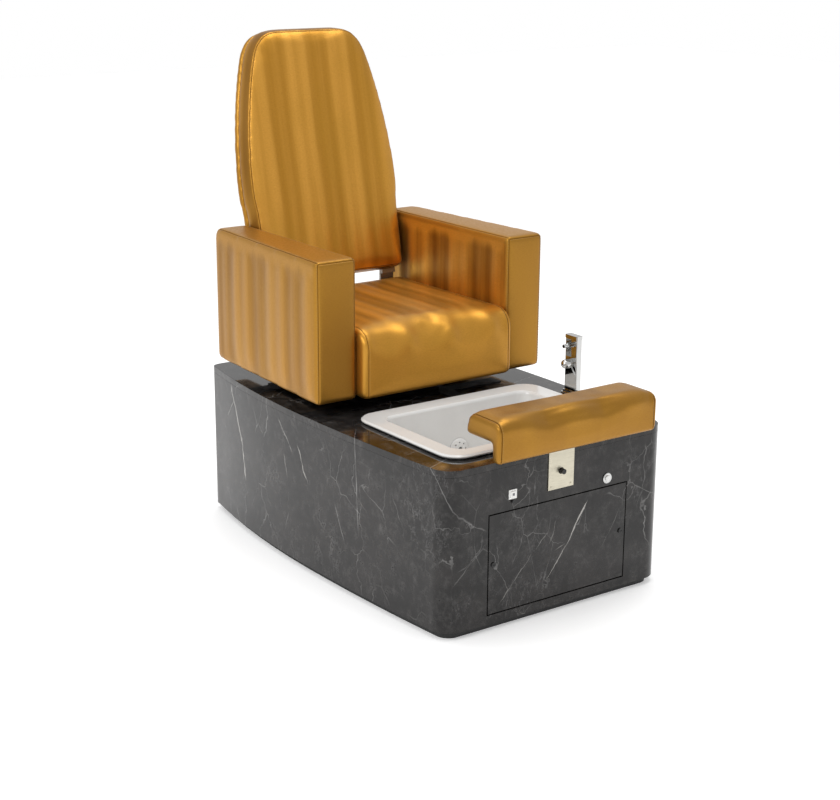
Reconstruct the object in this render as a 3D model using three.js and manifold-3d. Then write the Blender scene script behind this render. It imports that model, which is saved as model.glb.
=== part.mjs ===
// Pedicure spa chair: a swivelling, reclining armchair on a laminated cabinet that holds a foot basin.
// Millimetres, +Z up. The user looks towards -Y. Inside this file y = 0 is the cabinet's front face,
// and the exported group is moved so that its origin is at the middle of the footprint, on the floor.
import * as THREE from 'three';
import { mergeVertices } from 'three/addons/utils/BufferGeometryUtils.js';
import Module from 'manifold-3d';

const wasm = await Module();
wasm.setup();

// ---------------------------------------------------------------- driving dimensions
const GAP = 0.3; // clearance between pieces that rest on each other
const ORIGIN_Y = 613; // from the cabinet's front face to the middle of the footprint

// Cabinet: straight front, sides bowed out to WIDEST, narrower at the back
const LENGTH = 1240;
const WIDEST = 400;
const WIDEST_Y = 640;
const FRONT_HALF = 375;
const BACK_HALF = 342;
const FRONT_CORNER = 56;
const BACK_CORNER = 36;
const WALL = 18;
const BODY_Z = 20;
const DECK_Z = 458;
const DECK_BOTTOM_Z = DECK_Z - WALL;
const SHELL_TOP_Z = DECK_BOTTOM_Z - GAP;
const PLINTH_INSET = WALL + GAP;
const PLINTH_TOP_Z = 27.5;

// Access panel in the front wall
const PANEL_HALF = 233;
const PANEL_Z = [48, 318];
const PANEL_THICK = 15;
const PANEL_GAP = 3.6;
const LATCH_X = 218;
const LATCH_Z = 183;

// Foot basin: a drop-in bowl whose rim lies on the deck
const BASIN_Y = 287;
const RIM_HALF = [309, 227];
const RIM_Z = [461, 470];
const RIM_CORNER = 60;
const RIM_OVERLAP = 24; // how far the rim reaches over the deck's cut-out
const BOWL_HALF = [248, 170];
const BOWL_CORNER = 34;
const FLOOR_HALF = [224, 148];
const FLOOR_Z = 276;
const BOWL_WALL = 6;
const DRAIN_R = 24;
const JET_Z = 338;
const JET_TILT = THREE.MathUtils.degToRad(7);
const JET_HOLE_R = 22;

// Faucet on the right of the deck
const FAUCET = [355, 370];
const FAUCET_TOP_Z = 633;
const FAUCET_SIZE = [20, 50];
const SPOUT_Z = 605;
const LEVER_Z = 552;

// Footrest on a sliding post behind the front wall
const REST_HALF = 262;
const REST_BOARD_Z = [521.3, 529.6];
const POST_HALF = 30;
const POST_Y = [22, 32];
const POST_Z = [330, 521];
const GUIDE_Z = [325, 435];
const PLATE_HALF = 43;
const PLATE_Z = [349, 456];
const KNOB_Z = 397;

// Controls in the front wall
const SWITCH = [-160, 364];
const RESET_Z = 344;
const AIR_BUTTON = [163, 344];

// Chair: turns about a vertical axis through the deck
const SWIVEL_Y = 866;
const PEDESTAL_HALF = 140;
const ARM_Z = [497, 893];
const ARM_Y = [564, 1173];
const ARM_OUTER = [389, 355];
const ARM_INNER = [262, 259];
const SEAT_Y = [530, 1098];
const SEAT_HALF = 258;
const SEAT_TOP_Z = 693;
const SEAT_BOARD_Z = 610;
const SEAT_BOARD_Y = [602, 1084];
const SEAT_BOARD_HALF = 238;

// Back: leans from a pin joint behind the seat
const PIVOT = [1112, 590];
const LEAN = THREE.MathUtils.degToRad(12.2);
const BACK_FRONT = -84;
const BACK_SPLIT = -22;
const BACK_REAR = 3;
const BACK_Z = [125, 866];
const UPRIGHT_X = [192, 240];

// ---------------------------------------------------------------- materials
const paint = (color, roughness, metalness = 0) =>
  new THREE.MeshStandardMaterial({ color, roughness, metalness });
const marble = paint(0x3a393b, 0.2);
const gold = paint(0xb58a45, 0.45, 0.35);
const white = paint(0xe9e8e4, 0.15);
const chrome = paint(0xd0d2d4, 0.08, 1);
const steel = paint(0xc9c4b4, 0.35, 0.9);
const black = paint(0x141414, 0.5);
const blackSteel = paint(0x1e1e20, 0.45, 0.6);
const plywood = paint(0xa98456, 0.7);
const whitePlastic = paint(0xe6e6e2, 0.35);
const greyPlastic = paint(0x8b8d90, 0.5);

// ---------------------------------------------------------------- geometry helpers
function toSolid(geometry) {
  const plain = geometry.clone();
  plain.deleteAttribute('normal');
  plain.deleteAttribute('uv');
  const merged = mergeVertices(plain, 1e-4);
  return new wasm.Manifold(
    new wasm.Mesh({
      numProp: 3,
      vertProperties: new Float32Array(merged.attributes.position.array),
      triVerts: new Uint32Array(merged.index.array),
    }),
  );
}

function toGeometry(solid) {
  const mesh = solid.getMesh();
  const geometry = new THREE.BufferGeometry();
  geometry.setAttribute('position', new THREE.BufferAttribute(new Float32Array(mesh.vertProperties), 3));
  geometry.setIndex(new THREE.BufferAttribute(new Uint32Array(mesh.triVerts), 1));
  return geometry;
}

const join = (first, ...rest) =>
  toGeometry(rest.reduce((solid, geometry) => solid.add(toSolid(geometry)), toSolid(first)));
const cut = (first, ...rest) =>
  toGeometry(rest.reduce((solid, geometry) => solid.subtract(toSolid(geometry)), toSolid(first)));

function box([x0, x1], [y0, y1], [z0, z1]) {
  const geometry = new THREE.BoxGeometry(x1 - x0, y1 - y0, z1 - z0);
  return geometry.translate((x0 + x1) / 2, (y0 + y1) / 2, (z0 + z1) / 2);
}

function extrudeZ(shape, [z0, z1], curveSegments = 8) {
  const geometry = new THREE.ExtrudeGeometry(shape, { depth: z1 - z0, bevelEnabled: false, curveSegments });
  return geometry.translate(0, 0, z0);
}

// A profile drawn in (y, z) and drawn out along X
function extrudeX(shape, [x0, x1], curveSegments = 6) {
  const geometry = new THREE.ExtrudeGeometry(shape, { depth: x1 - x0, bevelEnabled: false, curveSegments });
  return geometry.rotateX(Math.PI / 2).rotateZ(Math.PI / 2).translate(x0, 0, 0);
}

// A profile drawn in (x, z) and drawn out along Y
function extrudeY(shape, [y0, y1], curveSegments = 8) {
  const geometry = new THREE.ExtrudeGeometry(shape, { depth: y1 - y0, bevelEnabled: false, curveSegments });
  return geometry.rotateX(Math.PI / 2).translate(0, y1, 0);
}

// A closed (radius, height) profile turned about Z
function turned(profile, segments = 24) {
  const points = profile.map(([r, h]) => new THREE.Vector2(r, h));
  const geometry = new THREE.LatheGeometry(points, segments).rotateX(Math.PI / 2);
  return outwards(geometry);
}

const cylinderZ = (radius, [z0, z1], segments = 16) =>
  new THREE.CylinderGeometry(radius, radius, z1 - z0, segments)
    .rotateX(Math.PI / 2)
    .translate(0, 0, (z0 + z1) / 2);
const cylinderY = (radius, [y0, y1], segments = 16) =>
  new THREE.CylinderGeometry(radius, radius, y1 - y0, segments).translate(0, (y0 + y1) / 2, 0);
const cylinderX = (radius, [x0, x1], segments = 16) =>
  new THREE.CylinderGeometry(radius, radius, x1 - x0, segments)
    .rotateZ(Math.PI / 2)
    .translate((x0 + x1) / 2, 0, 0);

// Turns the faces round when a closed mesh has a negative volume
function outwards(geometry) {
  const plain = geometry.clone();
  plain.deleteAttribute('normal');
  plain.deleteAttribute('uv');
  const merged = mergeVertices(plain, 1e-4);
  const index = merged.index.array;
  const corner = [new THREE.Vector3(), new THREE.Vector3(), new THREE.Vector3()];
  const kept = [];
  let volume = 0;
  for (let i = 0; i < index.length; i += 3) {
    const [a, b, c] = [index[i], index[i + 1], index[i + 2]];
    if (a === b || b === c || c === a) continue;
    kept.push(a, b, c);
    corner.forEach((v, k) => v.fromBufferAttribute(merged.attributes.position, index[i + k]));
    volume += corner[0].dot(corner[1].cross(corner[2]));
  }
  if (volume < 0) {
    for (let i = 0; i < kept.length; i += 3) [kept[i], kept[i + 1]] = [kept[i + 1], kept[i]];
  }
  merged.setIndex(kept);
  return merged;
}

// Skins a closed band through rings of equal length; the last ring joins back to the first
function loft(rings) {
  const count = rings[0].length;
  const positions = rings.flat(2);
  const index = [];
  rings.forEach((ring, i) => {
    const next = (i + 1) % rings.length;
    for (let k = 0; k < count; k += 1) {
      const a = i * count + k;
      const b = i * count + ((k + 1) % count);
      const c = next * count + ((k + 1) % count);
      const d = next * count + k;
      index.push(a, b, c, a, c, d);
    }
  });
  const geometry = new THREE.BufferGeometry();
  geometry.setAttribute('position', new THREE.Float32BufferAttribute(positions, 3));
  geometry.setIndex(index);
  return outwards(geometry);
}

function roundedRectangle(halfX, [y0, y1], radius) {
  const shape = new THREE.Shape();
  shape.moveTo(-halfX + radius, y0);
  shape.lineTo(halfX - radius, y0);
  shape.absarc(halfX - radius, y0 + radius, radius, -Math.PI / 2, 0);
  shape.absarc(halfX - radius, y1 - radius, radius, 0, Math.PI / 2);
  shape.absarc(-halfX + radius, y1 - radius, radius, Math.PI / 2, Math.PI);
  shape.absarc(-halfX + radius, y0 + radius, radius, Math.PI, 1.5 * Math.PI);
  return shape;
}

// A hose or pipe through points; inner > 0 makes it hollow
function pipe(points, outer, inner, sides, steps) {
  const curve = new THREE.CatmullRomCurve3(points.map((p) => new THREE.Vector3(...p)), false, 'centripetal');
  const ring = (radius) =>
    Array.from({ length: sides }, (_, i) => {
      const angle = (2 * Math.PI * i) / sides;
      return new THREE.Vector2(radius * Math.cos(angle), radius * Math.sin(angle));
    });
  const section = new THREE.Shape(ring(outer));
  if (inner > 0) section.holes.push(new THREE.Path(ring(inner)));
  return new THREE.ExtrudeGeometry(section, { steps, extrudePath: curve, bevelEnabled: false });
}

// ---------------------------------------------------------------- scene groups
const spa = new THREE.Group();
const cabinet = new THREE.Group();
const chair = new THREE.Group();
const back = new THREE.Group();
spa.add(cabinet);
spa.add(chair);
chair.add(back);
spa.position.set(0, -ORIGIN_Y, 0);
back.position.set(0, PIVOT[0], PIVOT[1]);
back.rotation.x = -LEAN;

function place(parent, name, geometry, material, position = [0, 0, 0]) {
  const mesh = new THREE.Mesh(geometry, material);
  mesh.name = name;
  mesh.position.set(...position);
  parent.add(mesh);
  return mesh;
}

// ---------------------------------------------------------------- cabinet
const halfWidth = (y) => {
  const front = (WIDEST - FRONT_HALF) * ((WIDEST_Y - y) / (WIDEST_Y - FRONT_CORNER)) ** 2;
  const rear = (WIDEST - BACK_HALF) * ((y - WIDEST_Y) / (LENGTH - WIDEST_Y)) ** 2;
  return WIDEST - (y < WIDEST_Y ? front : rear);
};

function cabinetOutline(inset) {
  const frontR = FRONT_CORNER - inset;
  const backR = Math.max(BACK_CORNER - inset, 4);
  const backY = LENGTH - inset;
  const frontX = halfWidth(FRONT_CORNER) - inset;
  const backX = halfWidth(backY - backR) - inset;
  const wide = WIDEST - inset;
  const half = (side) => [
    [side * frontX, inset + frontR],
    [side * wide, WIDEST_Y],
    [side * backX, backY - backR],
  ];
  const shape = new THREE.Shape();
  const [rightFront, rightWide, rightBack] = half(1);
  const [leftFront, leftWide, leftBack] = half(-1);
  const frontBendY = (rightFront[1] + WIDEST_Y) / 2;
  const backBendY = (rightBack[1] + WIDEST_Y) / 2;
  shape.moveTo(leftFront[0] + frontR, inset);
  shape.lineTo(rightFront[0] - frontR, inset);
  shape.absarc(rightFront[0] - frontR, rightFront[1], frontR, -Math.PI / 2, 0);
  shape.quadraticCurveTo(wide, frontBendY, ...rightWide);
  shape.quadraticCurveTo(wide, backBendY, ...rightBack);
  shape.quadraticCurveTo(rightBack[0], backY, rightBack[0] - backR, backY);
  shape.lineTo(leftBack[0] + backR, backY);
  shape.quadraticCurveTo(leftBack[0], backY, ...leftBack);
  shape.quadraticCurveTo(-wide, backBendY, ...leftWide);
  shape.quadraticCurveTo(-wide, frontBendY, ...leftFront);
  shape.absarc(leftFront[0] + frontR, leftFront[1], frontR, Math.PI, 1.5 * Math.PI);
  return shape;
}

function ringExtrude(outerInset, innerInset, z) {
  const shape = cabinetOutline(outerInset);
  shape.holes.push(cabinetOutline(innerInset));
  return extrudeZ(shape, z, 6);
}

const FRONT_CUT = [-5, WALL + 5];
const BACK_CUT = [LENGTH - WALL - 5, LENGTH + 5];
const WASTE_Z = 165;
const INLET_X = [130, 190];
const INLET_Z = 150;
const POWER = [-170, 90];
const NIPPLE_HOLE_R = 10;
const WASTE_HOLE_R = 24;
const SWITCH_HOLE = 10;
const AIR_HOLE_R = 11;
const RESET_HOLE_R = 4.8;
const KNOB_HOLE_R = 4.2;

function buildCabinet() {
  const opening = box(
    [-PANEL_HALF - PANEL_GAP, PANEL_HALF + PANEL_GAP],
    FRONT_CUT,
    [PANEL_Z[0] - PANEL_GAP, PANEL_Z[1] + PANEL_GAP],
  );
  const switchHole = box(
    [SWITCH[0] - SWITCH_HOLE, SWITCH[0] + SWITCH_HOLE],
    FRONT_CUT,
    [SWITCH[1] - SWITCH_HOLE, SWITCH[1] + SWITCH_HOLE],
  );
  const powerHole = box([POWER[0] - 22, POWER[0] + 22], BACK_CUT, [POWER[1] - 14, POWER[1] + 14]);
  const shell = cut(
    ringExtrude(0, WALL, [BODY_Z, SHELL_TOP_Z]),
    opening,
    switchHole,
    powerHole,
    cylinderY(AIR_HOLE_R, FRONT_CUT, 20).translate(AIR_BUTTON[0], 0, AIR_BUTTON[1]),
    cylinderY(RESET_HOLE_R, FRONT_CUT, 12).translate(SWITCH[0], 0, RESET_Z),
    cylinderY(KNOB_HOLE_R, FRONT_CUT, 12).translate(0, 0, KNOB_Z),
    cylinderY(WASTE_HOLE_R, BACK_CUT, 16).translate(0, 0, WASTE_Z),
    ...INLET_X.map((x) => cylinderY(NIPPLE_HOLE_R, BACK_CUT, 12).translate(x, 0, INLET_Z)),
  );
  place(cabinet, 'cabinet_shell', shell, marble);

  const deckOutline = cabinetOutline(0);
  const cutOutHalf = RIM_HALF.map((half) => half - RIM_OVERLAP);
  const cutOutY = [BASIN_Y - cutOutHalf[1], BASIN_Y + cutOutHalf[1]];
  deckOutline.holes.push(roundedRectangle(cutOutHalf[0], cutOutY, RIM_CORNER - RIM_OVERLAP));
  const deck = cut(
    extrudeZ(deckOutline, [DECK_BOTTOM_Z, DECK_Z], 6),
    cylinderZ(16, [DECK_BOTTOM_Z - 5, DECK_Z + 5], 20).translate(FAUCET[0], FAUCET[1], 0),
    box([-POST_HALF - 1, POST_HALF + 1], [POST_Y[0] - 1, POST_Y[1] + 1], [DECK_BOTTOM_Z - 5, DECK_Z + 5]),
  );
  place(cabinet, 'deck_top', deck, marble);

  place(cabinet, 'plinth_frame', ringExtrude(PLINTH_INSET, PLINTH_INSET + 20, [0, PLINTH_TOP_Z]), black);
}

function buildAccessPanel() {
  const latchHoleR = 4.4;
  const panel = cut(
    box([-PANEL_HALF, PANEL_HALF], [0, PANEL_THICK], PANEL_Z),
    ...[-1, 1].map((side) => cylinderY(latchHoleR, FRONT_CUT, 12).translate(side * LATCH_X, 0, LATCH_Z)),
  );
  place(cabinet, 'access_panel', panel, marble);

  const stopY = [WALL + GAP, WALL + 12];
  const through = [stopY[0] - 5, stopY[1] + 5];
  const camSlot = (x) => box([x - 12, x + 12], through, [LATCH_Z - 5, LATCH_Z + 5]);
  const stop = cut(
    box([-252, 252], stopY, [28, 324]),
    box([-206, 206], through, [68, 298]),
    camSlot(-LATCH_X),
    camSlot(LATCH_X),
  );
  place(cabinet, 'panel_stop_frame', stop, plywood);

  for (const [side, name] of [[-1, 'latch_left'], [1, 'latch_right']]) {
    const head = cylinderY(7, [-3, -GAP], 16);
    const stem = cylinderY(3.8, [-1, stopY[1] + 3.4], 12);
    const slot = box([-5, 5], [-4, -2], [-0.9, 0.9]);
    const cam = box([-3.5, 3.5], [stopY[1] + 0.5, stopY[1] + 3.5], [-11, 11]);
    place(cabinet, name, cut(join(head, stem, cam), slot), black, [side * LATCH_X, 0, LATCH_Z]);
  }
}

// ---------------------------------------------------------------- basin
function ringPoints(halfX, halfY, radius, z, perCorner = 7) {
  const points = [];
  for (const [sx, sy, start] of [[1, 1, 0], [-1, 1, 1], [-1, -1, 2], [1, -1, 3]]) {
    for (let i = 0; i < perCorner; i += 1) {
      const angle = ((start + i / (perCorner - 1)) * Math.PI) / 2;
      const x = sx * (halfX - radius) + radius * Math.cos(angle);
      const y = sy * (halfY - radius) + radius * Math.sin(angle);
      points.push([x, BASIN_Y + y, z]);
    }
  }
  return points;
}

function buildBasin() {
  const [rimX, rimY] = RIM_HALF;
  const [bowlX, bowlY] = BOWL_HALF;
  const [floorX, floorY] = FLOOR_HALF;
  const [rimLow, rimHigh] = RIM_Z;
  const t = BOWL_WALL;
  const floorCorner = BOWL_CORNER + 8;
  const rings = [
    ringPoints(DRAIN_R, DRAIN_R, DRAIN_R - 0.1, FLOOR_Z - 4 - t),
    ringPoints(floorX - 20 + t, floorY - 20 + t, BOWL_CORNER + t, FLOOR_Z - t),
    ringPoints(floorX + t, floorY + t, floorCorner + t, FLOOR_Z + 22),
    ringPoints(bowlX + t - 4, bowlY + t - 4, BOWL_CORNER + t, rimLow - 12),
    ringPoints(bowlX + t + 4, bowlY + t + 4, BOWL_CORNER + t + 4, rimLow),
    ringPoints(rimX - 3, rimY - 3, RIM_CORNER - 3, rimLow),
    ringPoints(rimX, rimY, RIM_CORNER, rimLow + 3),
    ringPoints(rimX, rimY, RIM_CORNER, rimHigh - 4),
    ringPoints(rimX - 5, rimY - 5, RIM_CORNER - 5, rimHigh),
    ringPoints(bowlX + 6, bowlY + 6, BOWL_CORNER + 6, rimHigh - 2.5),
    ringPoints(bowlX - 3, bowlY - 3, BOWL_CORNER, rimHigh - 12),
    ringPoints(floorX, floorY, floorCorner, FLOOR_Z + 22),
    ringPoints(floorX - 20, floorY - 20, BOWL_CORNER, FLOOR_Z),
    ringPoints(DRAIN_R, DRAIN_R, DRAIN_R - 0.1, FLOOR_Z - 4),
  ];
  const jetHole = atJet(cylinderZ(JET_HOLE_R, [-25, 25], 20));
  place(cabinet, 'basin', cut(loft(rings), jetHole), white);

  const sealEdge = (inset) =>
    roundedRectangle(rimX - inset, [BASIN_Y - rimY + inset, BASIN_Y + rimY - inset], RIM_CORNER - inset);
  const seal = sealEdge(5);
  seal.holes.push(sealEdge(20));
  place(cabinet, 'basin_gasket', extrudeZ(seal, [DECK_Z + GAP, RIM_Z[0] - GAP], 6), black);
}

// Jet axis: through the bowl's rear wall, local +Z points into the bowl
const JET_WALL_Y = BASIN_Y + FLOOR_HALF[1] + 5;
function atJet(geometry) {
  return geometry.rotateX(Math.PI / 2 - JET_TILT).translate(0, JET_WALL_Y, JET_Z);
}

function buildJet() {
  const intakeR = 2.6;
  const intakeRing = 19.4;
  const intakes = Array.from({ length: 8 }, (_, i) => {
    const angle = (i * Math.PI) / 4;
    const [x, y] = [intakeRing * Math.cos(angle), intakeRing * Math.sin(angle)];
    return cylinderZ(intakeR, [-20, 30], 8).translate(x, y, 0);
  });
  const dome = turned([[0, 5], [16, 5], [16, 1.8], [31, 1.8], [31, 3.4], [27, 6], [16, 8.2], [0, 9]], 24);
  const nozzle = cylinderZ(7, [-20, 30], 12);
  place(cabinet, 'jet_cover', atJet(cut(dome, nozzle, ...intakes)), white);

  const hub = cylinderZ(6, [-9, 3], 12);
  const blades = Array.from({ length: 5 }, (_, i) =>
    box([4, 15], [-1.2, 1.2], [-8, 2]).rotateZ((i * 2 * Math.PI) / 5),
  );
  place(cabinet, 'jet_impeller', atJet(join(hub, ...blades)), greyPlastic);

  const motor = turned(
    [[0, -118], [36, -118], [40, -112], [40, -34], [34, -30], [34, -13], [20.5, -13], [20.5, 1],
     [18, 1], [18, -14], [0, -14]],
    16,
  );
  place(cabinet, 'jet_motor', atJet(motor), black);
}

function buildDrain() {
  const drainZ = FLOOR_Z - 4;
  const flange = turned(
    [[17, drainZ - 24], [22.5, drainZ - 24], [22.5, drainZ + 1.2], [35, drainZ + 1.6],
     [35, drainZ + 3.6], [20, drainZ + 2.6], [17, drainZ + 0.5], [17, drainZ - 24]],
    20,
  );
  place(cabinet, 'drain_flange', flange, chrome, [0, BASIN_Y, 0]);
  const stopper = turned(
    [[0, drainZ - 16], [4, drainZ - 16], [4, drainZ - 4], [15.8, drainZ - 2], [16.2, drainZ + 3],
     [10, drainZ + 5], [0, drainZ + 5.5]],
    20,
  );
  place(cabinet, 'drain_stopper', stopper, chrome, [0, BASIN_Y, 0]);

  const trap = pipe(
    [[0, BASIN_Y, drainZ - 24.4], [0, BASIN_Y, 200], [0, BASIN_Y, 130], [0, BASIN_Y + 14, 98],
     [0, BASIN_Y + 45, 84], [0, BASIN_Y + 76, 98], [0, BASIN_Y + 92, 130], [0, BASIN_Y + 112, 158],
     [0, BASIN_Y + 150, 166], [0, BASIN_Y + 400, 166], [0, LENGTH - 60, WASTE_Z], [0, LENGTH - 1, WASTE_Z]],
    20, 16, 8, 26,
  );
  place(cabinet, 'drain_trap', trap, whitePlastic);
}

// ---------------------------------------------------------------- faucet
function buildFaucet() {
  const [x, y] = FAUCET;
  const at = [x, y, 0];
  const [depth, width] = FAUCET_SIZE;
  const halfX = depth / 2;
  const halfY = width / 2;
  const slab = (grow, z) =>
    extrudeZ(roundedRectangle(halfX + grow, [-halfY - grow, halfY + grow], 3 + grow / 2), z, 3);
  const base = join(slab(8, [DECK_Z + GAP, DECK_Z + 5]), slab(4, [DECK_Z + 4, DECK_Z + 12]));
  place(cabinet, 'faucet_base', cut(base, cylinderZ(13.5, [DECK_Z - 5, DECK_Z + 20], 16)), chrome, at);

  const headZ = FAUCET_TOP_Z - 10;
  const column = slab(0, [DECK_Z + 12.3, headZ]);
  const head = slab(1.5, [headZ, FAUCET_TOP_Z]);
  const shank = cylinderZ(12, [398, DECK_Z + 13], 16);
  const recess = box([-halfX - 5, -halfX + 10], [-halfY + 4, halfY - 4], [570, headZ - 2]);
  const spoutHole = cylinderX(7.4, [-halfX - 5, -halfX + 13], 12).translate(0, 0, SPOUT_Z);
  const valveHole = cylinderX(9.4, [-halfX - 5, -halfX + 13], 16).translate(0, 0, LEVER_Z);
  place(cabinet, 'faucet_body', cut(join(column, head, shank), recess, spoutHole, valveHole), chrome, at);

  const nut = cut(cylinderZ(21, [430, DECK_BOTTOM_Z - GAP], 6), cylinderZ(12.6, [425, 445], 16));
  place(cabinet, 'faucet_nut', nut, chrome, at);

  const spout = turned([[4.5, 0], [7, 0], [7, 30], [5.6, 31], [5.6, 41], [4.5, 41], [4.5, 0]], 12);
  spout.rotateY(-Math.PI / 2).translate(-halfX + 12.5, 0, SPOUT_Z);
  place(cabinet, 'faucet_spout', spout, chrome, at);

  // Lever: a stem in the valve hole, a stout barrel with a domed end, and a blade below it
  const barrelProfile = [
    [0, -12.5], [9, -12.5], [9, 0.6], [13, 0.6], [13.5, 18], [12.5, 24], [10, 28], [5, 30.5], [0, 31],
  ];
  const barrel = turned(barrelProfile, 16).rotateY(-Math.PI / 2).translate(-halfX, 0, 0);
  const blade = box([-halfX - 9, -halfX - 4], [-4, 4], [-40, 0]).rotateX(-0.7);
  place(cabinet, 'faucet_lever', join(barrel, blade), chrome, [x, y, LEVER_Z]);
}

function buildSupply() {
  const [x, y] = FAUCET;
  const top = 397.5;
  const hot = [
    [x, y - 7, top], [x, y - 7, 370], [x, y - 6, 320], [x - 4, y + 30, 240], [x - 20, y + 160, 170],
    [x - 60, y + 330, 145], [x - 130, y + 560, 140], [INLET_X[0] + 20, LENGTH - 120, 146],
    [INLET_X[0], LENGTH - 70, INLET_Z], [INLET_X[0], LENGTH - 52, INLET_Z],
  ];
  const cold = [
    [x, y + 7, top], [x, y + 7, 370], [x + 3, y + 14, 330], [x, y + 60, 268], [x - 4, y + 170, 215],
    [x - 20, y + 330, 190], [x - 60, y + 560, 175], [INLET_X[1] + 20, LENGTH - 120, 158],
    [INLET_X[1], LENGTH - 70, INLET_Z], [INLET_X[1], LENGTH - 52, INLET_Z],
  ];
  place(cabinet, 'hose_hot', pipe(hot, 5.5, 0, 6, 26), steel);
  place(cabinet, 'hose_cold', pipe(cold, 5.5, 0, 6, 26), steel);
  INLET_X.forEach((inletX, i) => {
    const nipple = join(
      cylinderY(9.5, [LENGTH - 51.5, LENGTH - 1], 12),
      cylinderY(15, [LENGTH - WALL - 12, LENGTH - WALL - GAP], 6),
    );
    place(cabinet, i === 0 ? 'inlet_nipple_hot' : 'inlet_nipple_cold', nipple, chrome, [inletX, 0, INLET_Z]);
  });
}

function buildElectrics() {
  const boxBackY = LENGTH - WALL - GAP;
  place(cabinet, 'control_box', box([-260, -80], [boxBackY - 62, boxBackY], [150, 270]), greyPlastic);
  const inlet = join(
    box([-30, 30], [LENGTH + GAP, LENGTH + 3], [-20, 20]),
    box([-21, 21], [LENGTH - 40, LENGTH + 1], [-13, 13]),
  );
  const socket = box([-12, 12], [LENGTH - 12, LENGTH + 5], [-8, 8]);
  place(cabinet, 'power_inlet', cut(inlet, socket), black, [POWER[0], 0, POWER[1]]);
  const tubeEnd = boxBackY - 62.4;
  const airTube = pipe(
    [[AIR_BUTTON[0], 47.5, AIR_BUTTON[1]], [AIR_BUTTON[0], 62, AIR_BUTTON[1]], [186, 84, 310],
     [232, 100, 240], [270, 150, 120], [280, 260, 60], [260, 480, 45], [120, 720, 50], [-60, 900, 80],
     [-150, 1040, 160], [-160, tubeEnd - 40, 200], [-160, tubeEnd, 200]],
    3.5, 0, 6, 32,
  );
  place(cabinet, 'air_tube', airTube, black);
}

// ---------------------------------------------------------------- controls in the front wall
function buildControls() {
  const [sx, sz] = SWITCH;
  const frame = cut(
    join(box([-12.5, 12.5], [-3, -GAP], [-12.5, 12.5]), box([-9.6, 9.6], [-1, 24], [-9.6, 9.6])),
    box([-8.3, 8.3], [-6, 30], [-8.3, 8.3]),
  );
  place(cabinet, 'switch_bezel', frame, whitePlastic, [sx, 0, sz]);
  place(cabinet, 'switch_button', box([-8, 8], [-5.5, 14], [-8, 8]), whitePlastic, [sx, 0, sz]);
  place(cabinet, 'switch_contact_block', box([-11, 11], [24.4, 40], [-11, 11]), black, [sx, 0, sz]);

  const reset = join(cylinderY(4.2, [-6, 22], 12), cylinderY(7, [WALL + GAP, WALL + 3], 12));
  place(cabinet, 'reset_button', reset, black, [sx, 0, RESET_Z]);

  const [ax, az] = AIR_BUTTON;
  const bezel = turned(
    [[8.6, -24], [10.4, -24], [10.4, GAP], [15, GAP], [15, 2.6], [13.5, 4], [10.5, 3.4], [8.6, 3.4],
     [8.6, -24]],
    20,
  );
  place(cabinet, 'air_button_bezel', bezel.rotateX(Math.PI / 2), chrome, [ax, 0, az]);
  const cap = turned(
    [[0, -20], [8, -20], [8, 5.2], [7, 6], [5.6, 5.4], [4.4, 6.2], [0, 6.2]],
    20,
  );
  place(cabinet, 'air_button', cap.rotateX(Math.PI / 2), whitePlastic, [ax, 0, az]);
  const bellows = turned([[0, 24.5], [12, 24.5], [12, 38], [4, 41], [4, 47], [0, 47]], 16);
  place(cabinet, 'air_bellows', bellows.rotateX(-Math.PI / 2), black, [ax, 0, az]);
}

// ---------------------------------------------------------------- footrest
function footrestProfile() {
  const shape = new THREE.Shape();
  shape.moveTo(-60, 478);
  shape.quadraticCurveTo(-68, 478, -69, 486);
  shape.lineTo(-72, 540);
  shape.bezierCurveTo(-72, 566, -62, 580, -44, 584);
  shape.quadraticCurveTo(0, 592, 40, 586);
  shape.quadraticCurveTo(50, 584, 53, 576);
  shape.lineTo(66, 538);
  shape.quadraticCurveTo(68, 530, 60, 530);
  shape.lineTo(-36, 530);
  shape.quadraticCurveTo(-43, 530, -43, 522);
  shape.lineTo(-43, 486);
  shape.quadraticCurveTo(-43, 478, -50, 478);
  return shape;
}

function buildFootrest() {
  const stem = cylinderY(3.5, [-4, POST_Y[0] - 0.5], 10);
  const grip = cylinderY(7.2, [-15, -4], 10);
  place(cabinet, 'footrest_knob', join(grip, stem), black, [0, 0, KNOB_Z]);

  const plate = cut(
    box([-PLATE_HALF, PLATE_HALF], [-3, -GAP], PLATE_Z),
    cylinderY(9, [-10, 10], 20).translate(0, 0, KNOB_Z),
  );
  place(cabinet, 'footrest_plate', plate, steel);

  const slotHalf = POST_HALF + 0.5;
  const slotY = [POST_Y[0] - 0.5, POST_Y[1] + 0.5];
  const guide = cut(
    box([-POST_HALF - 9, POST_HALF + 9], [WALL + GAP, POST_Y[1] + 9], GUIDE_Z),
    box([-slotHalf, slotHalf], slotY, [GUIDE_Z[0] - 5, GUIDE_Z[1] + 5]),
    cylinderY(KNOB_HOLE_R, [WALL - 5, POST_Y[0] + 2], 12).translate(0, 0, KNOB_Z),
  );
  place(cabinet, 'footrest_guide', guide, blackSteel);

  const post = join(
    box([-POST_HALF, POST_HALF], POST_Y, POST_Z),
    box([-60, 60], [-20, 48], [POST_Z[1] - 6, POST_Z[1]]),
  );
  place(cabinet, 'footrest_post', post, steel);
  place(cabinet, 'footrest_board', box([-216, 216], [-32, 54], REST_BOARD_Z), plywood);
  place(cabinet, 'footrest_pad', extrudeX(footrestProfile(), [-REST_HALF, REST_HALF], 5), gold);
}

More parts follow.
